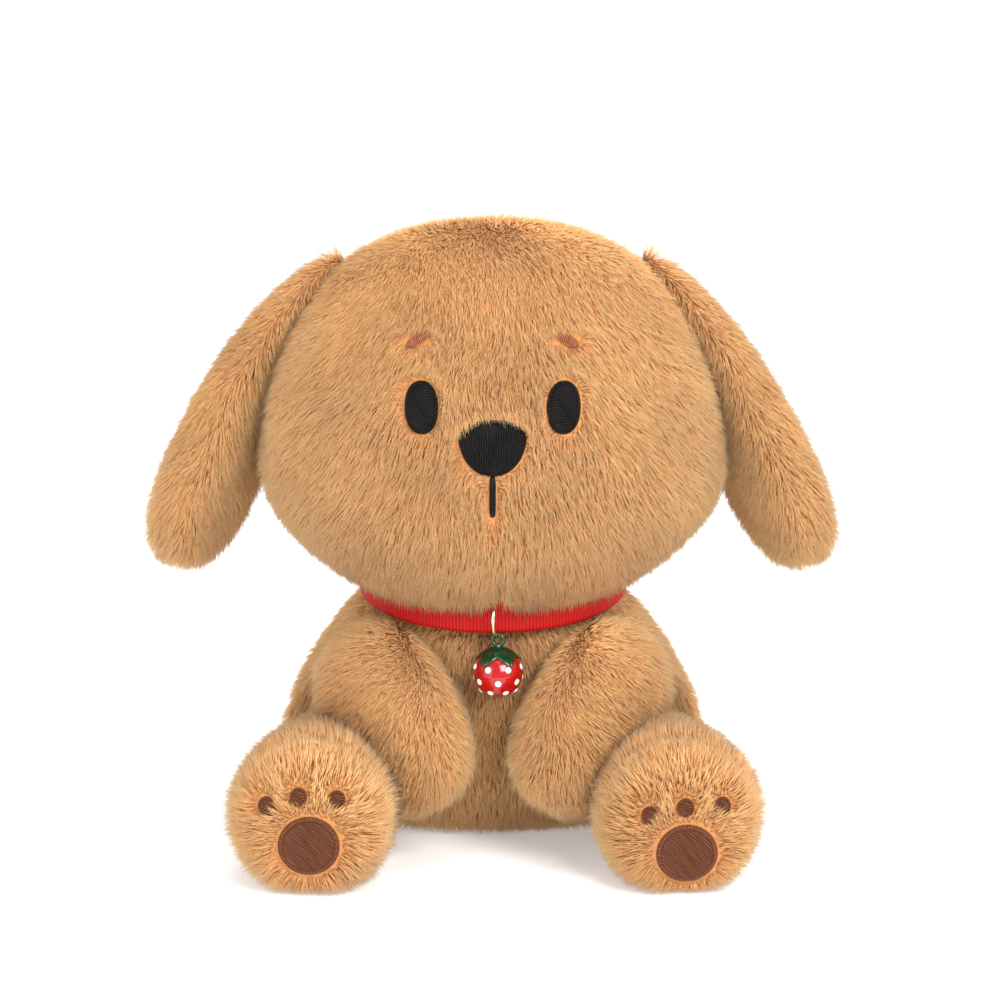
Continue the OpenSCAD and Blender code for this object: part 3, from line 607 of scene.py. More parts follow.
class Nodes:
    """Short words for building a shader tree."""

    def __init__(self, tree):
        self.tree = tree

    def add(self, kind, **settings):
        node = self.tree.nodes.new("ShaderNode" + kind)
        for key, value in settings.items():
            if hasattr(node, key):
                setattr(node, key, value)
            else:
                node.inputs[key.replace("_", " ")].default_value = value
        return node

    def link(self, a, b):
        self.tree.links.new(a, b)

    def math(self, operation, a, b=None):
        node = self.add("Math", operation=operation)
        for k, value in enumerate((a, b)):
            if value is None:
                continue
            if isinstance(value, (int, float)):
                node.inputs[k].default_value = value
            else:
                self.link(value, node.inputs[k])
        return node.outputs[0]

    def ramp(self, value, stops):
        node = self.add("ValToRGB")
        band = node.color_ramp
        while len(band.elements) < len(stops):
            band.elements.new(0.5)
        for element, (place, tint) in zip(band.elements, stops):
            element.position = place
            element.color = (*tint[:3], 1)
        self.link(value, node.inputs[0])
        return node.outputs[0]

    def mix(self, share, a, b, blend="MIX"):
        node = self.add("Mix", data_type="RGBA", blend_type=blend)
        for value, socket in ((share, node.inputs[0]), (a, node.inputs[6]), (b, node.inputs[7])):
            if isinstance(value, (int, float)):
                socket.default_value = value
            elif hasattr(value, "is_linked") or hasattr(value, "links"):
                self.link(value, socket)
            else:
                socket.default_value = (*tuple(value)[:3], 1)
        return node.outputs[2]

    def ridges(self, value):
        """|sin(pi value)|, the rounded top of each thread or rib."""
        return self.math("ABSOLUTE", self.math("SINE", self.math("MULTIPLY", value, math.pi)))

    def noise(self, where=None, **settings):
        """Noise over Object coordinates, or over another vector."""
        node = self.add("TexNoise", **settings)
        self.link(where or self.add("TexCoord").outputs["Object"], node.inputs["Vector"])
        return node

    def uv(self, name):
        """The two parts of a UV map."""
        split = self.add("SeparateXYZ")
        self.link(self.add("UVMap", uv_map=name).outputs[0], split.inputs[0])
        return split.outputs[0], split.outputs[1]


def new_material(name, **values):
    """A Principled material with constants set on the shader's own sockets."""
    material = bpy.data.materials.new(name)
    material.use_nodes = True
    tree = material.node_tree
    tree.nodes.clear()
    n = Nodes(tree)
    shader = n.add("BsdfPrincipled")
    for key, value in values.items():
        shader.inputs[key.replace("_", " ")].default_value = value
    out = n.add("OutputMaterial")
    n.link(shader.outputs[0], out.inputs[0])
    return n, shader


def tinted(colour_, k):
    return tuple(min(1, c * k) for c in colour_)


def new_group(name, *numbers):
    """A node group that takes a colour and numbers and puts out a colour and a height."""
    group = bpy.data.node_groups.new(name, "ShaderNodeTree")
    for title, way, kind in (("Colour", "INPUT", "Color"), *((title, "INPUT", "Float") for title in numbers),
                             ("Colour", "OUTPUT", "Color"), ("Height", "OUTPUT", "Float")):
        group.interface.new_socket(title, in_out=way, socket_type="NodeSocket" + kind)
    return Nodes(group), group.nodes.new("NodeGroupInput").outputs, group.nodes.new("NodeGroupOutput").inputs


def group_mottle():
    """Shared effect: slow tone changes and a fine grain, as a factor colour and a height."""
    n, entry, leave = new_group("Mottle", "Scale", "Strength")
    wide, fine = n.noise(Detail=3.0, Roughness=0.6), n.noise(Detail=4.0, Roughness=0.7)
    n.link(entry["Scale"], wide.inputs["Scale"])
    n.link(n.math("MULTIPLY", entry["Scale"], 9.0), fine.inputs["Scale"])
    both = n.math("ADD", n.math("MULTIPLY", wide.outputs[0], 0.6), n.math("MULTIPLY", fine.outputs[0], 0.4))
    shade = n.ramp(both, [(0.3, (0.55, 0.5, 0.46)), (0.7, (1, 1, 1))])
    n.link(n.mix(entry["Strength"], entry["Colour"], shade, "MULTIPLY"), leave["Colour"])
    n.link(both, leave["Height"])


def group_thread():
    """Shared effect: satin stitches. The UV map counts threads along U, so |sin(pi U)| is a
    thread's rounded top; V is 0 on the fill and 1 on the rim, which gets a little painted highlight.
    The colour darkens between threads as painted shade and lightens on their tops as a painted
    highlight, and streaks of painted sheen run along the threads."""
    n, entry, leave = new_group("Satin stitch", "Gap")
    threads, on_rim = n.uv("Thread")
    grain = n.noise(Scale=2600.0, Detail=2.0)
    along = n.add("Mapping", Scale=(0.8, 3.0, 1.0))
    n.link(n.add("UVMap", uv_map="Thread").outputs[0], along.inputs["Vector"])
    broad = n.noise(along.outputs[0], Scale=1.0, Detail=3.0, Roughness=0.7)
    height = n.math("ADD", n.math("MULTIPLY", n.ridges(threads), 0.75), n.math("MULTIPLY", grain.outputs[0], 0.25))
    # painted shade between the threads and a painted highlight on their tops, mixed in by Gap
    shade = n.ramp(height, [(0.15, (0.3, 0.3, 0.3)), (0.6, (1, 1, 1)), (1.0, (2.2, 2.0, 1.9))])
    gapped = n.mix(entry["Gap"], entry["Colour"], shade, "MULTIPLY")
    # painted sheen: lighter and darker streaks along the threads
    light = n.ramp(broad.outputs[0], [(0.35, (0.62, 0.62, 0.62)), (0.68, (1.7, 1.65, 1.6))])
    sheen_streaked = n.mix(0.8, gapped, light, "MULTIPLY")
    # painted highlight on the rim
    rim = n.ramp(on_rim, [(0.4, (1, 1, 1)), (0.6, (1.35, 1.3, 1.28))])
    n.link(n.mix(1.0, sheen_streaked, rim, "MULTIPLY"), leave["Colour"])
    n.link(height, leave["Height"])


def bumped(n, shader, height, strength, distance):
    """Feeds a height into the shader's normal. distance is in metres."""
    bump = n.add("Bump", Strength=strength, Distance=distance)
    n.link(height, bump.inputs["Height"])
    n.link(bump.outputs[0], shader.inputs["Normal"])


def pile_material(fur):
    """Pile: a ramp from root to tip, once dark and once light, mixed by the lock's tone.
    The ramp's darker roots are painted shade among the locks and its lighter tips a painted highlight.
    """
    n, shader = new_material("plush_pile", Roughness=0.7, Sheen_Weight=0.08, Sheen_Roughness=0.5,
                             Specular_IOR_Level=0.25)
    along, tone = n.uv("OFBake")
    # painted shade at the roots, painted highlight at the tips
    ends = [n.ramp(along, [(0.0, tinted(fur.root, k)), (0.6, tinted(fur.body, k)), (0.95, tinted(fur.tip, k))])
            for k in (0.64, 1.22)]
    n.link(n.mix(tone, *ends), shader.inputs["Base Color"])


def grouped_material(name, group, rough, gloss, bump, depth, **values):
    """A material whose colour and bump come from one of the shared node groups."""
    n, shader = new_material(name, Roughness=rough, Specular_IOR_Level=gloss)
    effect = n.add("Group", node_tree=bpy.data.node_groups[group], **values)
    n.link(effect.outputs["Colour"], shader.inputs["Base Color"])
    bumped(n, shader, effect.outputs["Height"], bump, depth)


def thread_material(name, tint, gap):
    # gap sets how strongly the painted shade between threads and the painted highlight on their tops show
    grouped_material(name, "Satin stitch", 0.45, 0.3, 1.0, 0.0005, Colour=(*tint, 1), Gap=gap)


def ribbon_material(tint):
    """Grosgrain: U counts ribs, and the colour darkens between them as painted shade and lightens on their tops as a
    painted highlight; fine cross threads run over each rib.
    """
    n, shader = new_material("grosgrain", Roughness=0.6, Specular_IOR_Level=0.25)
    ribs, threads = n.uv("Weave")
    height = n.math("ADD", n.math("MULTIPLY", n.ridges(ribs), 0.8), n.math("MULTIPLY", n.ridges(threads), 0.2))
    # painted shade in the gaps between ribs and a painted highlight on their tops
    shade = n.ramp(height, [(0.1, (0.5, 0.4, 0.4)), (0.6, (0.95, 0.9, 0.9)), (1.0, (1.15, 1.2, 1.2))])
    n.link(n.mix(1.0, tint, shade, "MULTIPLY"), shader.inputs["Base Color"])
    bumped(n, shader, height, 0.5, 0.00015)


def hard_material(name, tint, rough, metal, coat):
    """Enamel or plating: nearly even, with faint unevenness in its gloss and surface."""
    n, shader = new_material(name, Metallic=metal, Coat_Weight=coat, Coat_Roughness=0.04, Specular_IOR_Level=0.5)
    noise = n.noise(Scale=260.0, Detail=3.0).outputs[0]
    gloss = n.ramp(noise, [(0.3, (rough * 0.7,) * 3), (0.7, (rough * 1.4,) * 3)])
    n.link(gloss, shader.inputs["Roughness"])
    n.link(n.ramp(noise, [(0.3, tinted(tint, 0.9)), (0.7, tinted(tint, 1.06))]), shader.inputs["Base Color"])
    bumped(n, shader, noise, 0.08, 0.00002)


# ---------- embroidery ----------

def face_places(egg, x, z, out):
    """Where the front of the head lies at places seen from the front, a distance proud of it: its
    outline narrows with height as (1 - rise^n)^(1/n), and each level is an ellipse."""
    half, high = egg["half"], np.where(z > egg["at"][2], egg["high"], egg["low"])
    rise = (z - egg["at"][2]) / (high + out)
    round_off = (1 - np.abs(rise) ** 2.2) ** (1 / 2.2)
    facing = 1 - (x / (half * round_off)) ** 2
    n = np.where(z > egg["at"][2], egg["round"], 2 + egg["chin"] * facing)
    full = (1 - np.abs(rise) ** n) ** (1 / n)
    y = egg["at"][1] - (egg["front"] + out) * np.sqrt(np.maximum(full ** 2 - (x / (half + out)) ** 2, 0))
    return np.stack([x, y, z], -1)


def sole_places(limb, across, up, out):
    """Where a sole lies at places across and up from its middle, a distance proud of it. The share
    u of the limb's length at which its section is as wide as the place is found in two steps of
    u = (1 + (1 - r^n)^(1/n)) / 2."""
    n = limb["round"]
    wide, thick = limb["wide"][2], limb["thick"][2]
    for _ in range(2):
        r = np.hypot(across / wide, up / thick)
        u = (1 + np.maximum(0, 1 - r ** n) ** (1 / n)) / 2
        wide, thick = bend(*limb["wide"], u), bend(*limb["thick"], u)
    centre, way, side, over = limb_axis(limb, u, 0)
    return centre + across[..., None] * side + up[..., None] * over + np.asarray(out)[..., None] * way


def stitched_patch(name, place, outline, trim, body, yarn, node, slant, rim, rings=44, around=180):
    """A raised satin-stitch patch. place(x, z, out) gives a point on the fabric; outline(a) gives
    the edge's half sizes in direction a. Its height is a dome (1 - r^8)^(1/2); threads run across
    the fill as |sin(pi distance / pitch)| and outwards over a rim as wide as the stitch is long."""
    r = np.linspace(0, 1, rings + 1)[1:, None]
    a = round_steps(around)
    ex, ez = outline(a)
    px, pz = r * ex, r * ez
    edge = np.hypot(ex, ez)
    from_edge = (1 - r) * edge
    on_rim = smooth((rim - from_edge) / 0.12 + 0.5) if rim > 0 else np.zeros_like(from_edge)
    pitch = trim.thread
    fill = (pz * math.cos(slant) + px * math.sin(slant)) / pitch + 0.18 * np.sin(px * 2.1 + pz * 1.3)
    wrap = a * np.round(2 * np.pi * edge.mean() / pitch) / (2 * np.pi) + 0 * r
    count = np.where(on_rim > 0.5, wrap, fill)
    thread = np.abs(np.sin(np.pi * fill)) * (1 - on_rim) + np.abs(np.sin(np.pi * wrap)) * on_rim
    dome = np.sqrt(np.maximum(0, 1 - r ** 8)) + 0 * a
    crown = 1 + 0.35 * np.sin(np.pi * np.clip(from_edge / max(rim, 0.1), 0, 1)) * (rim > 0)
    groove = 0.3 * np.exp(-((from_edge - rim) / 0.18) ** 2) if rim > 0 else 0
    height = trim.proud * (0.55 + 0.3 * crown) * dome + (0.18 * thread - groove) * smooth((1 - r) * 12)
    top = place(px, pz, height)
    under = place(px * 0.99, pz * 0.99, -0.6 + 0 * height)
    middle_top = place(np.array(0.0), np.array(0.0), np.array(trim.proud * 0.85))
    middle_under = place(np.array(0.0), np.array(0.0), np.array(-0.6))
    grid = np.concatenate([under[::8], top[::-1]], 0)
    verts, tris = closed_tube(grid, middle_under, middle_top)
    tris = facing_out(verts, tris)
    values = np.concatenate([[0.5], np.concatenate([count[::8], count[::-1]]).ravel(), [0.5]])
    kind = np.concatenate([[0.0], np.concatenate([on_rim[::8], on_rim[::-1]]).ravel(), [0.0]])
    uv = np.stack([values[tris], kind[tris]], -1).reshape(-1, 2)
    finished(name, verts, tris, yarn + "_satin", body, yarn + "_thread", [node], {"Thread": uv})


def oval(w, h, power=0.9, pinch=0.0, lean=0.0):
    """Outline of an oval: x = w/2 cos^p (1 + pinch sin^p), z = h/2 sin^p + lean x."""
    def outline(a):
        sx = np.sign(np.cos(a)) * np.abs(np.cos(a)) ** power
        sz = np.sign(np.sin(a)) * np.abs(np.sin(a)) ** power
        x = w / 2 * sx * (1 + pinch * sz)
        return x, h / 2 * sz + lean * w / 2 * sx
    return outline


# ---------- metal ----------

def ring_mesh(centre, normal, radius, wire, gap=0.0, segments=96, round_=20):
    """A torus: a circle of wire radius carried round a circle in the plane across normal. A gap
    leaves a thin cut, closed by flat ends."""
    normal = unit(np.asarray(normal, float))
    helper = np.array([0, 0, 1.0]) if abs(normal[2]) < 0.9 else np.array([1.0, 0, 0])
    e1 = unit(np.cross(normal, helper))
    e2 = np.cross(normal, e1)
    closed = gap <= 0
    t = np.linspace(gap / radius / 2, 2 * np.pi - gap / radius / 2, segments, endpoint=not closed)[:, None]
    s = round_steps(round_)
    out = np.cos(t)[..., None] * e1 + np.sin(t)[..., None] * e2
    points = centre + out * (radius + wire * np.cos(s))[..., None] + normal * (wire * np.sin(s))[..., None]
    if not closed:
        ends = [centre + out[k, 0] * radius for k in (0, -1)]
        verts, tris = closed_tube(points, *ends)
        return verts, facing_out(verts, tris)
    verts, tris = joined_round(points)
    return verts, facing_out(verts, tris)


def on_ball(centre, lat, lon, radius):
    """Points on a ball from latitude and longitude."""
    way = np.stack([np.cos(lat) * np.cos(lon), np.cos(lat) * np.sin(lon), np.sin(lat) + 0 * lon], -1)
    return centre + way * np.asarray(radius)[..., None]


class Dog:
    """Values that several operators share, worked out once from the sidebar's sizes."""

    def __init__(self, scene):
        self.body = sizes(scene.dog_body)
        self.fur = sizes(scene.dog_fur)
        self.trim = sizes(scene.dog_trim)
        self.stage = sizes(scene.dog_stage)
        self.shapes = dog_shapes(self.body)
        self.skins = body_skins(self.body, self.shapes)
        trim = self.trim
        low, high = (np.array(c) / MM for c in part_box("bell_shell"))
        self.bell_at = np.array([(low[0] + high[0]) / 2, (low[1] + high[1]) / 2, high[2] - trim.bell / 2])
        self.ring_at = middle_of("jump_ring")
        self.loop_at = middle_of("hanging_loop")
        self.collar_at = middle_of("collar_ribbon")
        # middles of the large pads, and of the beans from them, across and up each sole
        self.sole_pads = {"left": (0, -7.4), "right": (1, -9.6)}
        self.beans = {"left": [(-11.6, 11.2), (-2.7, 13.8), (7.8, 13)],
                      "right": [(-10.3, 10.8), (-0.5, 13), (9.7, 13.3)]}

    def collar_height(self, p):
        """Height of places above the tilted middle plane of the collar."""
        way = np.array([0, -math.sin(COLLAR_TILT), math.cos(COLLAR_TILT)])
        return (p - self.collar_at) @ way


DOG = {}


def dog(context):
    if "made" not in DOG:
        DOG["made"] = Dog(context.scene)
    return DOG["made"]


def face_marks(d):
    """Middle and half sizes of each mark on the face, so that fur stays off them."""
    t = d.trim
    marks = [(side * t.eye_spacing / 2, d.body.head_z + EYE_HIGH, 4.7, 7.3) for side in (-1, 1)]
    marks += [(side * t.eye_spacing * BROW_SPREAD, d.body.head_z + BROW_HIGH, 2.8, 1.4) for side in (-1, 1)]
    marks += [(0, d.body.head_z + NOSE_HIGH, 8.8, 7.6), (0, d.body.head_z - 2.5, 1.1, 6)]
    return marks


def part_round(marks, spread, places, share, flow, reach, right, up):
    """Turns fur near marks away from them and shortens it; fur inside a mark is left out. places
    are across and up in the marks' own plane, where share is 1. The distance to a mark is that to
    its ellipse, in millimetres."""
    for x, z, w, h in marks:
        dx, dz = places[0] - x, places[1] - z
        distance = (np.hypot(dx / w, dz / h) - 1) * min(w, h)
        room = spread * (1 + 1.3 * smooth(dz / h))
        near = (smooth(1 - distance / room) * share)[:, None]
        push = unit((dx / w)[:, None] * right + (dz / h)[:, None] * up)
        flow = unit(flow) * (1 - 0.8 * near) + push * near * 1.2
        shorter = np.where(distance < 0.25, 0, 0.4 + 0.6 * smooth(distance / room))
        reach = np.where(share > 0.5, reach * shorter, reach)
    return flow, reach


# ---------- operators ----------

class DOG_OT_materials(bpy.types.Operator):
    """Make the materials of the plush dog"""
    bl_idname = "plush_dog.materials"
    bl_label = "Make materials"

    def execute(self, context):
        d = dog(context)
        group_mottle()
        group_thread()
        pile_material(d.fur)
        grouped_material("plush_skin", "Mottle", 0.9, 0.1, 0.8, 0.0008, Colour=(*tinted(d.fur.root, 0.85), 1),
                         Scale=90, Strength=0.7)
        grouped_material("fibre_fill", "Mottle", 0.95, 0.2, 0.6, 0.001, Colour=(0.87, 0.86, 0.82, 1), Scale=160,
                         Strength=0.25)
        thread_material("black_satin", d.trim.black, 0.75)
        thread_material("brown_satin", d.trim.brown, 0.8)
        thread_material("brow_satin", d.trim.brow, 0.6)
        ribbon_material(d.trim.red)
        hard_material("pale_gold", (0.93, 0.80, 0.58), 0.12, 1.0, 0.0)
        hard_material("red_enamel_coat", d.trim.enamel_red, 0.14, 0.0, 0.4)
        hard_material("green_enamel_coat", d.trim.enamel_green, 0.14, 0.0, 0.4)
        hard_material("dark_enamel_coat", tinted(d.trim.enamel_red, 0.3), 0.2, 0.0, 0.3)
        hard_material("white_enamel_coat", (0.92, 0.91, 0.88), 0.16, 0.0, 1.0)
        hard_material("ball_steel", (0.62, 0.62, 0.64), 0.25, 1.0, 0.0)
        return {"FINISHED"}


class DOG_OT_covers(bpy.types.Operator):
    """Make the stuffed covers that the fur grows from"""
    bl_idname = "plush_dog.covers"
    bl_label = "Make covers"

    def execute(self, context):
        d = dog(context)
        nodes = {
            "head": ["face_left", "face_right", "head_back_left", "head_back_right", "head_base"],
            "torso": ["belly_panel", "back_panel_left", "back_panel_right", "seat_panel"],
            "tail": ["tail_upper", "tail_under"],
        }
        for name in SIDES:
            nodes["ear_" + name] = [f"ear_{name}_outer", f"ear_{name}_lining", f"ear_{name}_wadding"]
            nodes["arm_" + name] = [f"arm_{name}_front", f"arm_{name}_back", f"arm_{name}_stuffing"]
            nodes["leg_" + name] = [f"leg_{name}_upper", f"leg_{name}_under", f"leg_{name}_sole"]
        for body, (verts, tris) in d.skins.items():
            piece = finished(body + "_cover", verts, tris, "plush_skin", body, "fur", nodes[body])
        hidden = sum(nodes.values(), [])
        for node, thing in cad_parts.items():
            if ("stuffing" in node or "wadding" in node) and node not in hidden:
                paint(thing, "fibre_fill")
        return {"FINISHED"}


def paint(thing, material):
    """Puts a material in every slot of a CAD node's object."""
    for slot in thing.material_slots:
        slot.material = bpy.data.materials[material]


class DOG_OT_head_fur(bpy.types.Operator):
    """Grow the fur of the head"""
    bl_idname = "plush_dog.head_fur"
    bl_label = "Grow head fur"

    def execute(self, context):
        d = dog(context)
        head = d.shapes["head"]

        def comb(p, n):
            """Forward over the top and down the face, fanning out to both sides, and down behind."""
            x = (p[:, 0] - head["at"][0]) / head["half"]
            y = (p[:, 1] - head["at"][1]) / head["front"]
            crown = smooth((p[:, 2] - head["at"][2] - 34) / 26)
            forward = -0.5 * crown * smooth((0.75 - y) / 0.5)
            return np.stack([0.4 * x + 0.5 * x ** 3 + 0.1 * crown, 1.6 * forward, -1 + 0.3 * crown], -1)

        def lift(p, flow, reach):
            front = smooth((head["at"][1] - 12 - p[:, 1]) / 6)
            return part_round(face_marks(d), 1.6, (p[:, 0], p[:, 2]), front, flow, reach,
                              np.array([1.0, 0, 0]), np.array([0, 0, 1.0]))

        ring = [(d.ring_at, 5.0), (d.bell_at, d.trim.bell / 2 + 0.3)]
        furry(d, "head", comb, 11, parts=4, keep=lambda p, tips: keep_out(p, tips, ring), lift=lift)
        return {"FINISHED"}


class DOG_OT_body_fur(bpy.types.Operator):
    """Grow the fur of the torso and the tail"""
    bl_idname = "plush_dog.body_fur"
    bl_label = "Grow body fur"

    def execute(self, context):
        d = dog(context)

        def comb(p, n):
            """Down the body and a little outwards."""
            return np.stack([0.012 * p[:, 0], 0 * p[:, 0], -np.ones(len(p))], -1)

        def long(p, n):
            """Short under the ribbon and under the seat, full elsewhere."""
            off_band = smooth((np.abs(d.collar_height(p)) - d.trim.ribbon_width / 2) / 4)
            top = np.where(d.collar_height(p) > 0, 0.12, 0.25)
            return (top + (1 - top) * off_band) * (0.2 + 0.8 * smooth((p[:, 2] - 1) / 3))

        bell = [(d.bell_at, d.trim.bell / 2 + 0.2), (d.ring_at, d.trim.ring / 2)]
        furry(d, "torso", comb, 21, long=long, parts=2, keep=lambda p, tips: keep_out(p, tips, bell),
              density=lambda c, n: 0.55 + 0.45 * smooth((0.2 - n[:, 1]) / 0.5))
        furry(d, "tail", lambda p, n: np.tile([0, 1.0, 0.35], (len(p), 1)), 22)
        return {"FINISHED"}


class DOG_OT_limb_fur(bpy.types.Operator):
    """Grow the fur of the ears, arms and legs"""
    bl_idname = "plush_dog.limb_fur"
    bl_label = "Grow limb fur"

    def execute(self, context):
        d = dog(context)
        bell = [(d.bell_at, d.trim.bell / 2 + 0.3)]
        for k, (name, side) in enumerate(SIDES.items()):
            furry(d, "ear_" + name, along_limb(d.shapes["ear_" + name], [side * 0.2, 0, 0]), 31 + k)
            furry(d, "arm_" + name, lambda p, n: np.tile([side * 0.4, -0.1, -1.0], (len(p), 1)), 41 + k,
                  keep=lambda p, tips: keep_out(p, tips, bell))
            self.leg(d, name, side, 51 + k)
        return {"FINISHED"}

    def leg(self, d, name, side, seed):
        """Fur of one leg: back along the leg, and outwards from the print on its sole."""
        leg, pad = d.shapes["leg_" + name], d.sole_pads[name]
        marks = [(*pad, 8.7, 8.5)] + [(pad[0] + x, pad[1] + z, 2.4, 2.6) for x, z in d.beans[name]]
        end = leg["line"][2]
        along = limb_axis(leg, np.array(1.0), 0)
        across, over, way = along[2], along[3], along[1]
        sole = lambda p: smooth(((p - end) @ way + 12) / 4)

        def comb(p, n):
            """Outwards from the large pad on the sole, back and down along the leg behind it."""
            rel = p - end
            away = ((rel @ across) - pad[0])[:, None] * across + ((rel @ over) - pad[1])[:, None] * over
            share = sole(p)[:, None]
            return unit(away) * share + np.array([0.3 * side, 0.6, -0.25]) * (1 - share)

        def lift(p, flow, reach):
            rel = p - end
            return part_round(marks, 1.4, (rel @ across, rel @ over), sole(p), flow, reach, across, over)

        long = lambda p, n: 0.25 + 0.75 * smooth((p[:, 2] - 1) / 3)
        furry(d, "leg_" + name, comb, seed, long=long, lift=lift)


def along_limb(limb, sideways):
    """A comb that follows a limb from its seam to its end, with a push in one direction."""
    u = np.linspace(0, 1, 41)
    centres, ways, _, _ = limb_axis(limb, u, 0)

    def comb(p, n):
        nearest = np.zeros(len(p), int)
        best = np.full(len(p), 1e9)
        for k in range(0, 41, 4):
            gap = np.linalg.norm(p - centres[k], axis=1)
            nearest = np.where(gap < best, k, nearest)
            best = np.minimum(gap, best)
        return ways[nearest] + np.array(sideways)
    return comb


class DOG_OT_face(bpy.types.Operator):
    """Embroider the eyes, nose, mouth and eyebrows"""
    bl_idname = "plush_dog.face"
    bl_label = "Embroider face"

    def execute(self, context):
        d = dog(context)
        head, t = d.shapes["head"], d.trim
        spot = lambda x, z: (lambda px, pz, out: face_places(head, px + x, pz + (d.body.head_z + z), out))
        for name, side in SIDES.items():
            stitched_patch("eye_" + name, spot(side * t.eye_spacing / 2, EYE_HIGH), oval(9.4, 14.6), t, "head",
                           "black", "eye_" + name, slant=0.35, rim=1.0)
            stitched_patch("brow_" + name, spot(side * t.eye_spacing * BROW_SPREAD, BROW_HIGH),
                           oval(6.2, 3.0, lean=-side * 0.5), t, "head", "brow", "brow_" + name,
                           slant=1.5 + side * 0.4, rim=0.5, rings=20, around=100)
        stitched_patch("nose", spot(0, NOSE_HIGH), oval(18, 15.6, 0.86, 0.22), t, "head", "black", "nose_patch",
                       slant=1.45, rim=0.9, rings=64, around=240)
        stitched_patch("mouth", spot(0, -2.45), oval(1.8, 12, 0.5), t, "head", "black", "mouth_line", slant=0.0,
                       rim=0, rings=14, around=150)
        return {"FINISHED"}


class DOG_OT_paw_prints(bpy.types.Operator):
    """Embroider the pads and toe beans on the soles"""
    bl_idname = "plush_dog.paw_prints"
    bl_label = "Embroider paw prints"

    def execute(self, context):
        d = dog(context)
        for name in SIDES:
            leg = d.shapes["leg_" + name]
            px, pz = d.sole_pads[name]
            spot = lambda x, z: (lambda qx, qz, out: sole_places(leg, qx + x, qz + z, out))
            stitched_patch("pad_" + name, spot(px, pz), oval(17, 16.5, 1.0), d.trim, "leg_" + name, "brown",
                           "sole_pad_" + name, slant=0.8, rim=1.3, rings=60, around=240)
            for k, (x, z) in enumerate(d.beans[name]):
                stitched_patch(f"bean_{name}_{k + 1}", spot(px + x, pz + z), oval(4.8, 5.3, 1.0), d.trim,
                               "leg_" + name, "brown", "toe_beans_" + name, slant=0.5, rim=0.6, rings=22, around=110)
        return {"FINISHED"}


def ribbon_mesh(d, radius, start, end, closed):
    """A strip of ribbed ribbon round the neck: at angle a its radius swells by |sin(pi ribs)|, and its
    section is a thin rectangle with rounded edges, carried round the tilted collar's axis."""
    t = d.trim
    ribs = int(round(2 * np.pi * radius / t.rib))
    steps = 6
    count = max(8, int(ribs * steps * (end - start) / (2 * np.pi)))
    a = np.linspace(start, end, count, endpoint=not closed)[:, None]
    rib = a * ribs / (2 * np.pi)
    half_w, half_t = t.ribbon_width / 2, t.ribbon_thick / 2
    across = np.concatenate([np.linspace(-1, 1, 11), np.linspace(1, -1, 11)])[None]
    outer = np.concatenate([np.ones(11), -np.ones(11)])[None]
    edge = np.sqrt(np.maximum(0, 1 - across ** 16))
    swell = 0.16 * (np.abs(np.sin(np.pi * rib)) - 0.6)
    r = radius + half_t + outer * half_t * (0.55 + 0.45 * edge) + swell * (outer > 0) * edge
    z = across * (half_w + 0.1 * np.abs(np.sin(np.pi * rib)) * (np.abs(across) > 0.95))
    local = np.stack([r * np.cos(a), r * np.sin(a), z + 0 * a], -1)
    c, s = math.cos(COLLAR_TILT), math.sin(COLLAR_TILT)
    turned = np.stack([local[..., 0], local[..., 1] * c - local[..., 2] * s,
                       local[..., 1] * s + local[..., 2] * c], -1)
    points = turned + d.collar_at
    weave = np.stack([rib + 0 * z, z / 0.5 + 0 * rib], -1)
    if closed:
        verts, tris = joined_round(points)
        flat = weave.reshape(-1, 2)
    else:
        verts, tris = closed_tube(points, points[0].mean(0), points[-1].mean(0))
        flat = np.concatenate([weave[0, :1], weave.reshape(-1, 2), weave[-1, :1]])
    tris = facing_out(verts, tris)
    return verts, tris, {"Weave": flat[tris].reshape(-1, 2)}


class DOG_OT_collar(bpy.types.Operator):
    """Make the ribbon collar and its jump ring"""
    bl_idname = "plush_dog.collar"
    bl_label = "Make collar"

    def execute(self, context):
        d = dog(context)
        t = d.trim
        reach = 7 / t.collar_radius
        verts, tris, weave = ribbon_mesh(d, t.collar_radius, 0, 2 * np.pi, True)
        finished("ribbon_band", verts, tris, "grosgrain", "collar", "ribbon", ["collar_ribbon"], weave)
        verts, tris, weave = ribbon_mesh(d, t.collar_radius + t.ribbon_thick + 0.05, np.pi / 2 - reach,
                                         np.pi / 2 + reach, False)
        finished("ribbon_end", verts, tris, "grosgrain", "collar", "ribbon", ["collar_overlap"], weave)
        normal = [-math.cos(BELL_TURN), math.sin(BELL_TURN), 0]
        verts, tris = ring_mesh(d.ring_at, normal, (t.ring - t.wire) / 2, t.wire / 2, gap=0.25)
        finished("split_ring", verts, tris, "pale_gold", "ring", "ring_metal", ["jump_ring"])
        return {"FINISHED"}


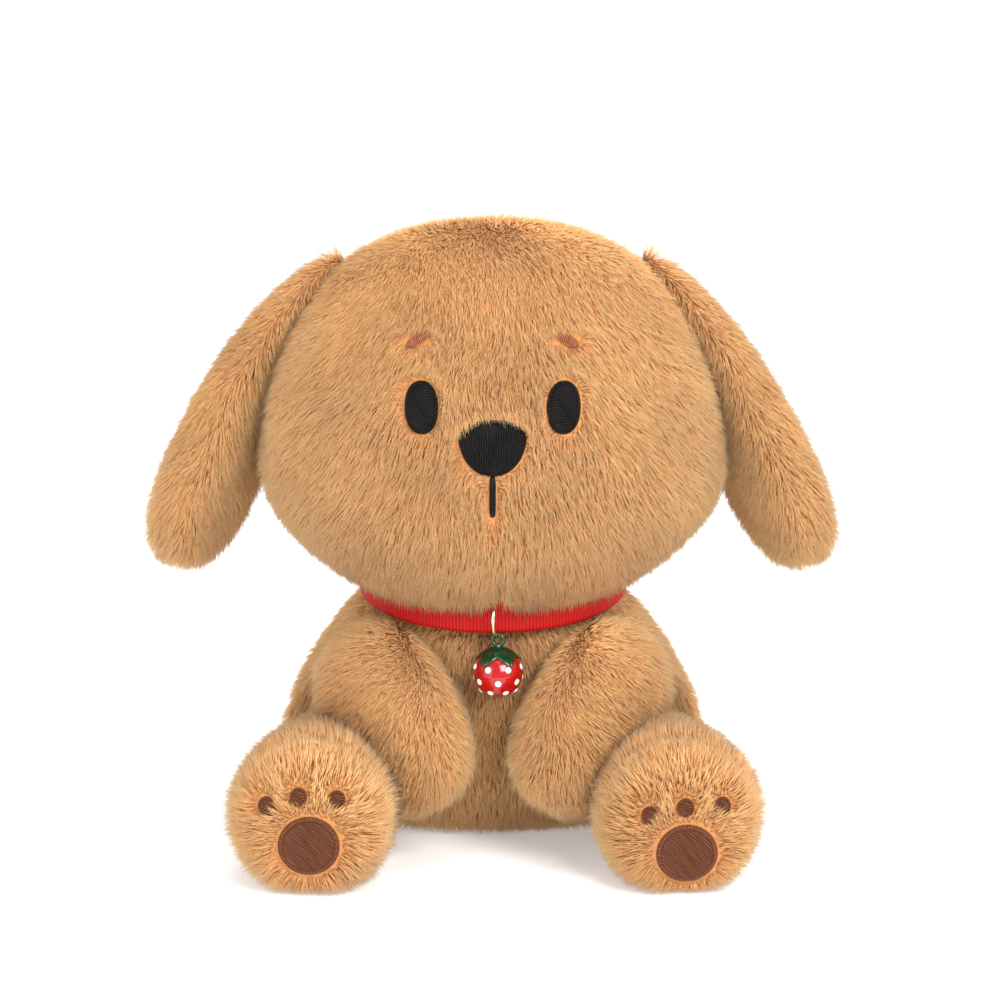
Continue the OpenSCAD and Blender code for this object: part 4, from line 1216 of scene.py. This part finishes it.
class DOG_OT_bell(bpy.types.Operator):
    """Make the strawberry bell with its leaves, eyelet and raised seeds"""
    bl_idname = "plush_dog.bell"
    bl_label = "Make bell"

    def execute(self, context):
        d = dog(context)
        self.shell(d)
        self.leaves(d)
        self.seeds(d)
        paint(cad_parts["bell_pellet"], "ball_steel")
        normal = [math.sin(BELL_TURN), math.cos(BELL_TURN), 0]
        verts, tris = ring_mesh(d.loop_at, normal, (d.trim.loop - 1.1) / 2, 0.55, segments=60, round_=16)
        finished("eyelet", verts, tris, "green_enamel_coat", "bell", "green_enamel", ["hanging_loop"])
        return {"FINISHED"}

    def shell(self, d):
        """A ball swept round its side-to-side axis, so that the slot's long edges are rows of its
        grid; the slot's faces are left out and the wall is made by a Solidify modifier. A raised band
        of the form exp(-(z / 0.25)^2) runs round its middle."""
        t = d.trim
        radius = t.bell / 2
        edge = math.asin(t.slot / 2 / radius)
        side = np.linspace(edge, np.pi / 2 - 0.02, 34)
        lat = np.concatenate([-side[::-1], np.linspace(-edge, edge, 5)[1:-1], side])
        lon = round_steps(120)
        x = radius * np.sin(lat)[:, None] + 0 * lon
        y = radius * np.cos(lat)[:, None] * np.cos(lon)
        z = radius * np.cos(lat)[:, None] * np.sin(lon)
        waist = 0.12 * np.exp(-(z / 0.25) ** 2)
        grid = np.stack([x, y * (1 + waist / radius), z], -1)
        c, s = math.cos(BELL_TURN), math.sin(BELL_TURN)
        turned = np.stack([grid[..., 0] * c - grid[..., 1] * s, grid[..., 0] * s + grid[..., 1] * c,
                           grid[..., 2]], -1)
        ends = [np.array([k * radius * c, k * radius * s, 0]) for k in (-1, 1)]
        verts, tris = closed_tube(turned, *ends)
        tris = facing_out(verts, tris)
        low = verts[tris].mean(1)
        along = low @ np.array([c, s, 0])
        in_slot = (np.abs(along) < t.slot / 2 * 0.95) & (low[:, 2] < -0.43 * t.bell)
        piece = finished("berry_shell", verts + d.bell_at, tris[~in_slot], "red_enamel_coat", "bell",
                         "red_enamel", ["bell_shell"])
        wall = piece.modifiers.new("Wall", "SOLIDIFY")
        wall.thickness = t.bell_wall * MM
        wall.offset = -1

    def leaves(self, d):
        """Five leaves over the bell's top, each a grid from the stem to a point: half width follows
        sin(pi s^0.75)^0.8, the middle vein is raised and the tip lifts off the ball. A tapered stem joins them."""
        t = d.trim
        meshes = []
        s = np.linspace(0.02, 1, 25)[:, None]
        w = np.linspace(-1, 1, 17)[None]
        for k in range(5):
            lon0 = 2 * np.pi * (k + 0.25) / 5 - np.pi / 2 + BELL_TURN
            down = 0.08 + 1.08 * s
            wide = (0.5 * np.sin(np.pi * s ** 0.75) ** 0.8 + 0.02) / np.maximum(np.sin(down), 0.25) * 0.9
            dome = np.sqrt(np.maximum(0, 1 - w ** 4))
            height = t.bell / 2 + 0.12 + 0.42 * dome * (1 - s ** 6) + 0.5 * s ** 4 - 0.12 * np.exp(-(w / 0.12) ** 2)
            top = on_ball(d.bell_at, np.pi / 2 - down, lon0 + w * wide, height)
            below = t.bell / 2 + 0.04 + 0.45 * s ** 4 + 0 * w
            under = on_ball(d.bell_at, np.pi / 2 - down, lon0 + w[:, ::-1] * wide, below)
            loop = np.concatenate([top, under], 1)
            meshes.append(closed_tube(loop, loop[0].mean(0), loop[-1].mean(0)))
        r = np.array([1.7, 1.35, 1.0, 0.85, 0.8])[:, None]
        z = np.array([-0.1, 0.35, 0.8, 1.2, 1.5])[:, None]
        a = round_steps(24)
        base = d.bell_at + [0, 0, t.bell / 2]
        stem = np.stack([r * np.cos(a), r * np.sin(a), z + 0 * a], -1) + base
        meshes.append(closed_tube(stem, base, base + [0, 0, 1.5]))
        verts, tris = joined([(v, facing_out(v - v.mean(0), f)) for v, f in meshes])
        finished("leaf_crown", verts, tris, "green_enamel_coat", "bell", "green_enamel", ["leaf_cap"])

    def seeds(self, d):
        """Raised dots in three staggered rows of seven, each a dome on the ball in a thin dark rim."""
        radius, ball = d.trim.seed / 2, d.trim.bell / 2
        for name, wide, low, rise, tint, slot, nodes in (
                ("berry_seeds", radius, -0.15, 0.6, "white", "white_enamel", ["seed_dots"]),
                ("seed_rims", radius * 1.16, -0.2, 0.32, "dark", "red_enamel", [])):
            domes = [self.dome(d.bell_at, math.radians(lat), 2 * np.pi * (k + (row + 1) % 2 / 2) / 7 - np.pi / 2,
                               wide, ball + low, rise) for row, lat in enumerate((18, -14, -44)) for k in range(7)]
            finished(name, *joined(domes), tint + "_enamel_coat", "bell", slot, nodes)

    def dome(self, centre, lat, lon, wide, low, rise):
        """A dome on a ball: at share r of its width it stands low + rise sqrt(1 - (0.97 r)^2) out."""
        way = np.array([math.cos(lat) * math.cos(lon), math.cos(lat) * math.sin(lon), math.sin(lat)])
        e1 = unit(np.cross(way, [0, 0, 1.0]))
        e2 = np.cross(way, e1)
        r = np.linspace(1, 0.15, 6)[:, None]
        a = round_steps(18)
        out = low + rise * np.sqrt(1 - (r * 0.97) ** 2) + 0 * a
        points = (centre + way * out[..., None] + e1 * (r * wide * np.cos(a))[..., None]
                  + e2 * (r * wide * np.sin(a))[..., None])
        verts, tris = closed_tube(points, centre + way * (low - 0.05), centre + way * (low + rise))
        return verts, facing_out(verts - verts.mean(0), tris)


def joined(meshes):
    """Several meshes as one list of points and one of triangles."""
    start, verts, tris = 0, [], []
    for v, f in meshes:
        verts.append(v)
        tris.append(f + start)
        start += len(v)
    return np.vstack(verts), np.vstack(tris)


class DOG_OT_stage(bpy.types.Operator):
    """Make the floor, the lights and the camera"""
    bl_idname = "plush_dog.stage"
    bl_label = "Make stage"

    def execute(self, context):
        d = dog(context)
        scene = context.scene
        self.floor()
        self.camera(scene, d.stage)
        self.lights(scene, d.stage)
        scene.view_settings.view_transform = "Standard"
        return {"FINISHED"}

    def floor(self):
        """A pale sweep: level floor that curves up into a wall far behind."""
        level, curve, half = 2600, 900, 4200.0
        turn = np.linspace(0.1, np.pi / 2, 12)
        y = np.concatenate([np.linspace(-level, level, 8), level + curve * np.sin(turn), [level + curve]])
        z = np.concatenate([np.zeros(8), curve * (1 - np.cos(turn)), [half]])
        x = np.array([-half, half])
        points = np.stack([x + 0 * y[:, None], y[:, None] + 0 * x, z[:, None] + 0 * x], -1).reshape(-1, 3)
        i = np.arange(len(y) - 1)[:, None] * 2
        quads = np.concatenate([i, i + 1, i + 3, i + 2], 1)
        n, shader = new_material("studio_paper", Roughness=0.9, Specular_IOR_Level=0.05, Emission_Strength=0.32)
        noise = n.noise(Scale=3.0, Detail=2.0)
        shade = n.ramp(noise.outputs[0], [(0.3, (0.9, 0.9, 0.9)), (0.7, (0.92, 0.92, 0.92))])
        n.link(shade, shader.inputs["Base Color"])
        shader.inputs["Emission Color"].default_value = (1, 1, 1, 1)
        floor = new_piece("studio_floor", points, quads)
        floor.data.materials.append(bpy.data.materials["studio_paper"])

    def camera(self, scene, stage):
        data = bpy.data.cameras.new("camera")
        data.lens = stage.lens
        data.sensor_width = 36
        data.clip_end = 50
        camera = bpy.data.objects.new("camera", data)
        scene.collection.objects.link(camera)
        e = stage.raise_angle
        target = np.array([2.04, MID_Y, 95.0])  # the middle of the view, a little above the bell
        back = np.array([0, -math.cos(e), math.sin(e)])
        camera.location = (target + back * stage.distance) * MM
        camera.rotation_euler = (math.pi / 2 - e, 0, 0)
        scene.camera = camera

    def lights(self, scene, stage):
        """A large soft key from the front right, a weaker fill from the left and a wide top light."""
        world = bpy.data.worlds.new("studio")
        world.use_nodes = True
        sky = world.node_tree.nodes["Background"].inputs
        sky["Color"].default_value = (1.0, 0.985, 0.965, 1)
        sky["Strength"].default_value = 0.62
        scene.world = world
        aim = np.array([0, 0, 0.09])
        for name, place, size, power in (("key", (0.62, -1.15, 0.85), 0.7, stage.key),
                                         ("fill", (-1.0, -0.9, 0.5), 0.9, stage.fill),
                                         ("top", (0.1, -0.2, 1.3), 0.8, stage.fill)):
            data = bpy.data.lights.new(name, "AREA")
            data.shape = "SQUARE"
            data.size = size
            data.energy = power
            light = bpy.data.objects.new(name, data)
            light.location = place
            light.rotation_euler = Vector(unit(aim - np.array(place))).to_track_quat("-Z", "Y").to_euler()
            scene.collection.objects.link(light)


class DOG_PT_panel(bpy.types.Panel):
    """Sizes and steps of the plush dog"""
    bl_idname = "DOG_PT_panel"
    bl_label = "Plush Dog"
    bl_space_type = "VIEW_3D"
    bl_region_type = "UI"
    bl_category = "Plush Dog"

    def draw(self, context):
        for group in GROUPS:
            values = getattr(context.scene, group)
            box = self.layout.box()
            for prop in values.bl_rna.properties:
                if prop.identifier not in ("name", "rna_type"):
                    box.prop(values, prop.identifier, text=prop.identifier.replace("_", " ").capitalize())
        for step in STEPS:
            self.layout.operator(step.bl_idname)


GROUPS = {"dog_body": DOG_body_sizes, "dog_fur": DOG_fur, "dog_trim": DOG_trim, "dog_stage": DOG_stage}
STEPS = (DOG_OT_materials, DOG_OT_stage, DOG_OT_covers, DOG_OT_face, DOG_OT_paw_prints, DOG_OT_collar, DOG_OT_bell,
         DOG_OT_head_fur, DOG_OT_body_fur, DOG_OT_limb_fur)
CLASSES = (*GROUPS.values(), *STEPS, DOG_PT_panel)


def register():
    for cls in CLASSES:
        bpy.utils.register_class(cls)
    for name, group in GROUPS.items():
        setattr(bpy.types.Scene, name, PointerProperty(type=group))


def unregister():
    for name in GROUPS:
        delattr(bpy.types.Scene, name)
    for cls in reversed(CLASSES):
        bpy.utils.unregister_class(cls)


def main():
    register()
    for step in STEPS:
        space, call = step.bl_idname.split(".")
        getattr(getattr(bpy.ops, space), call)()


if __name__ == "__main__":
    main()
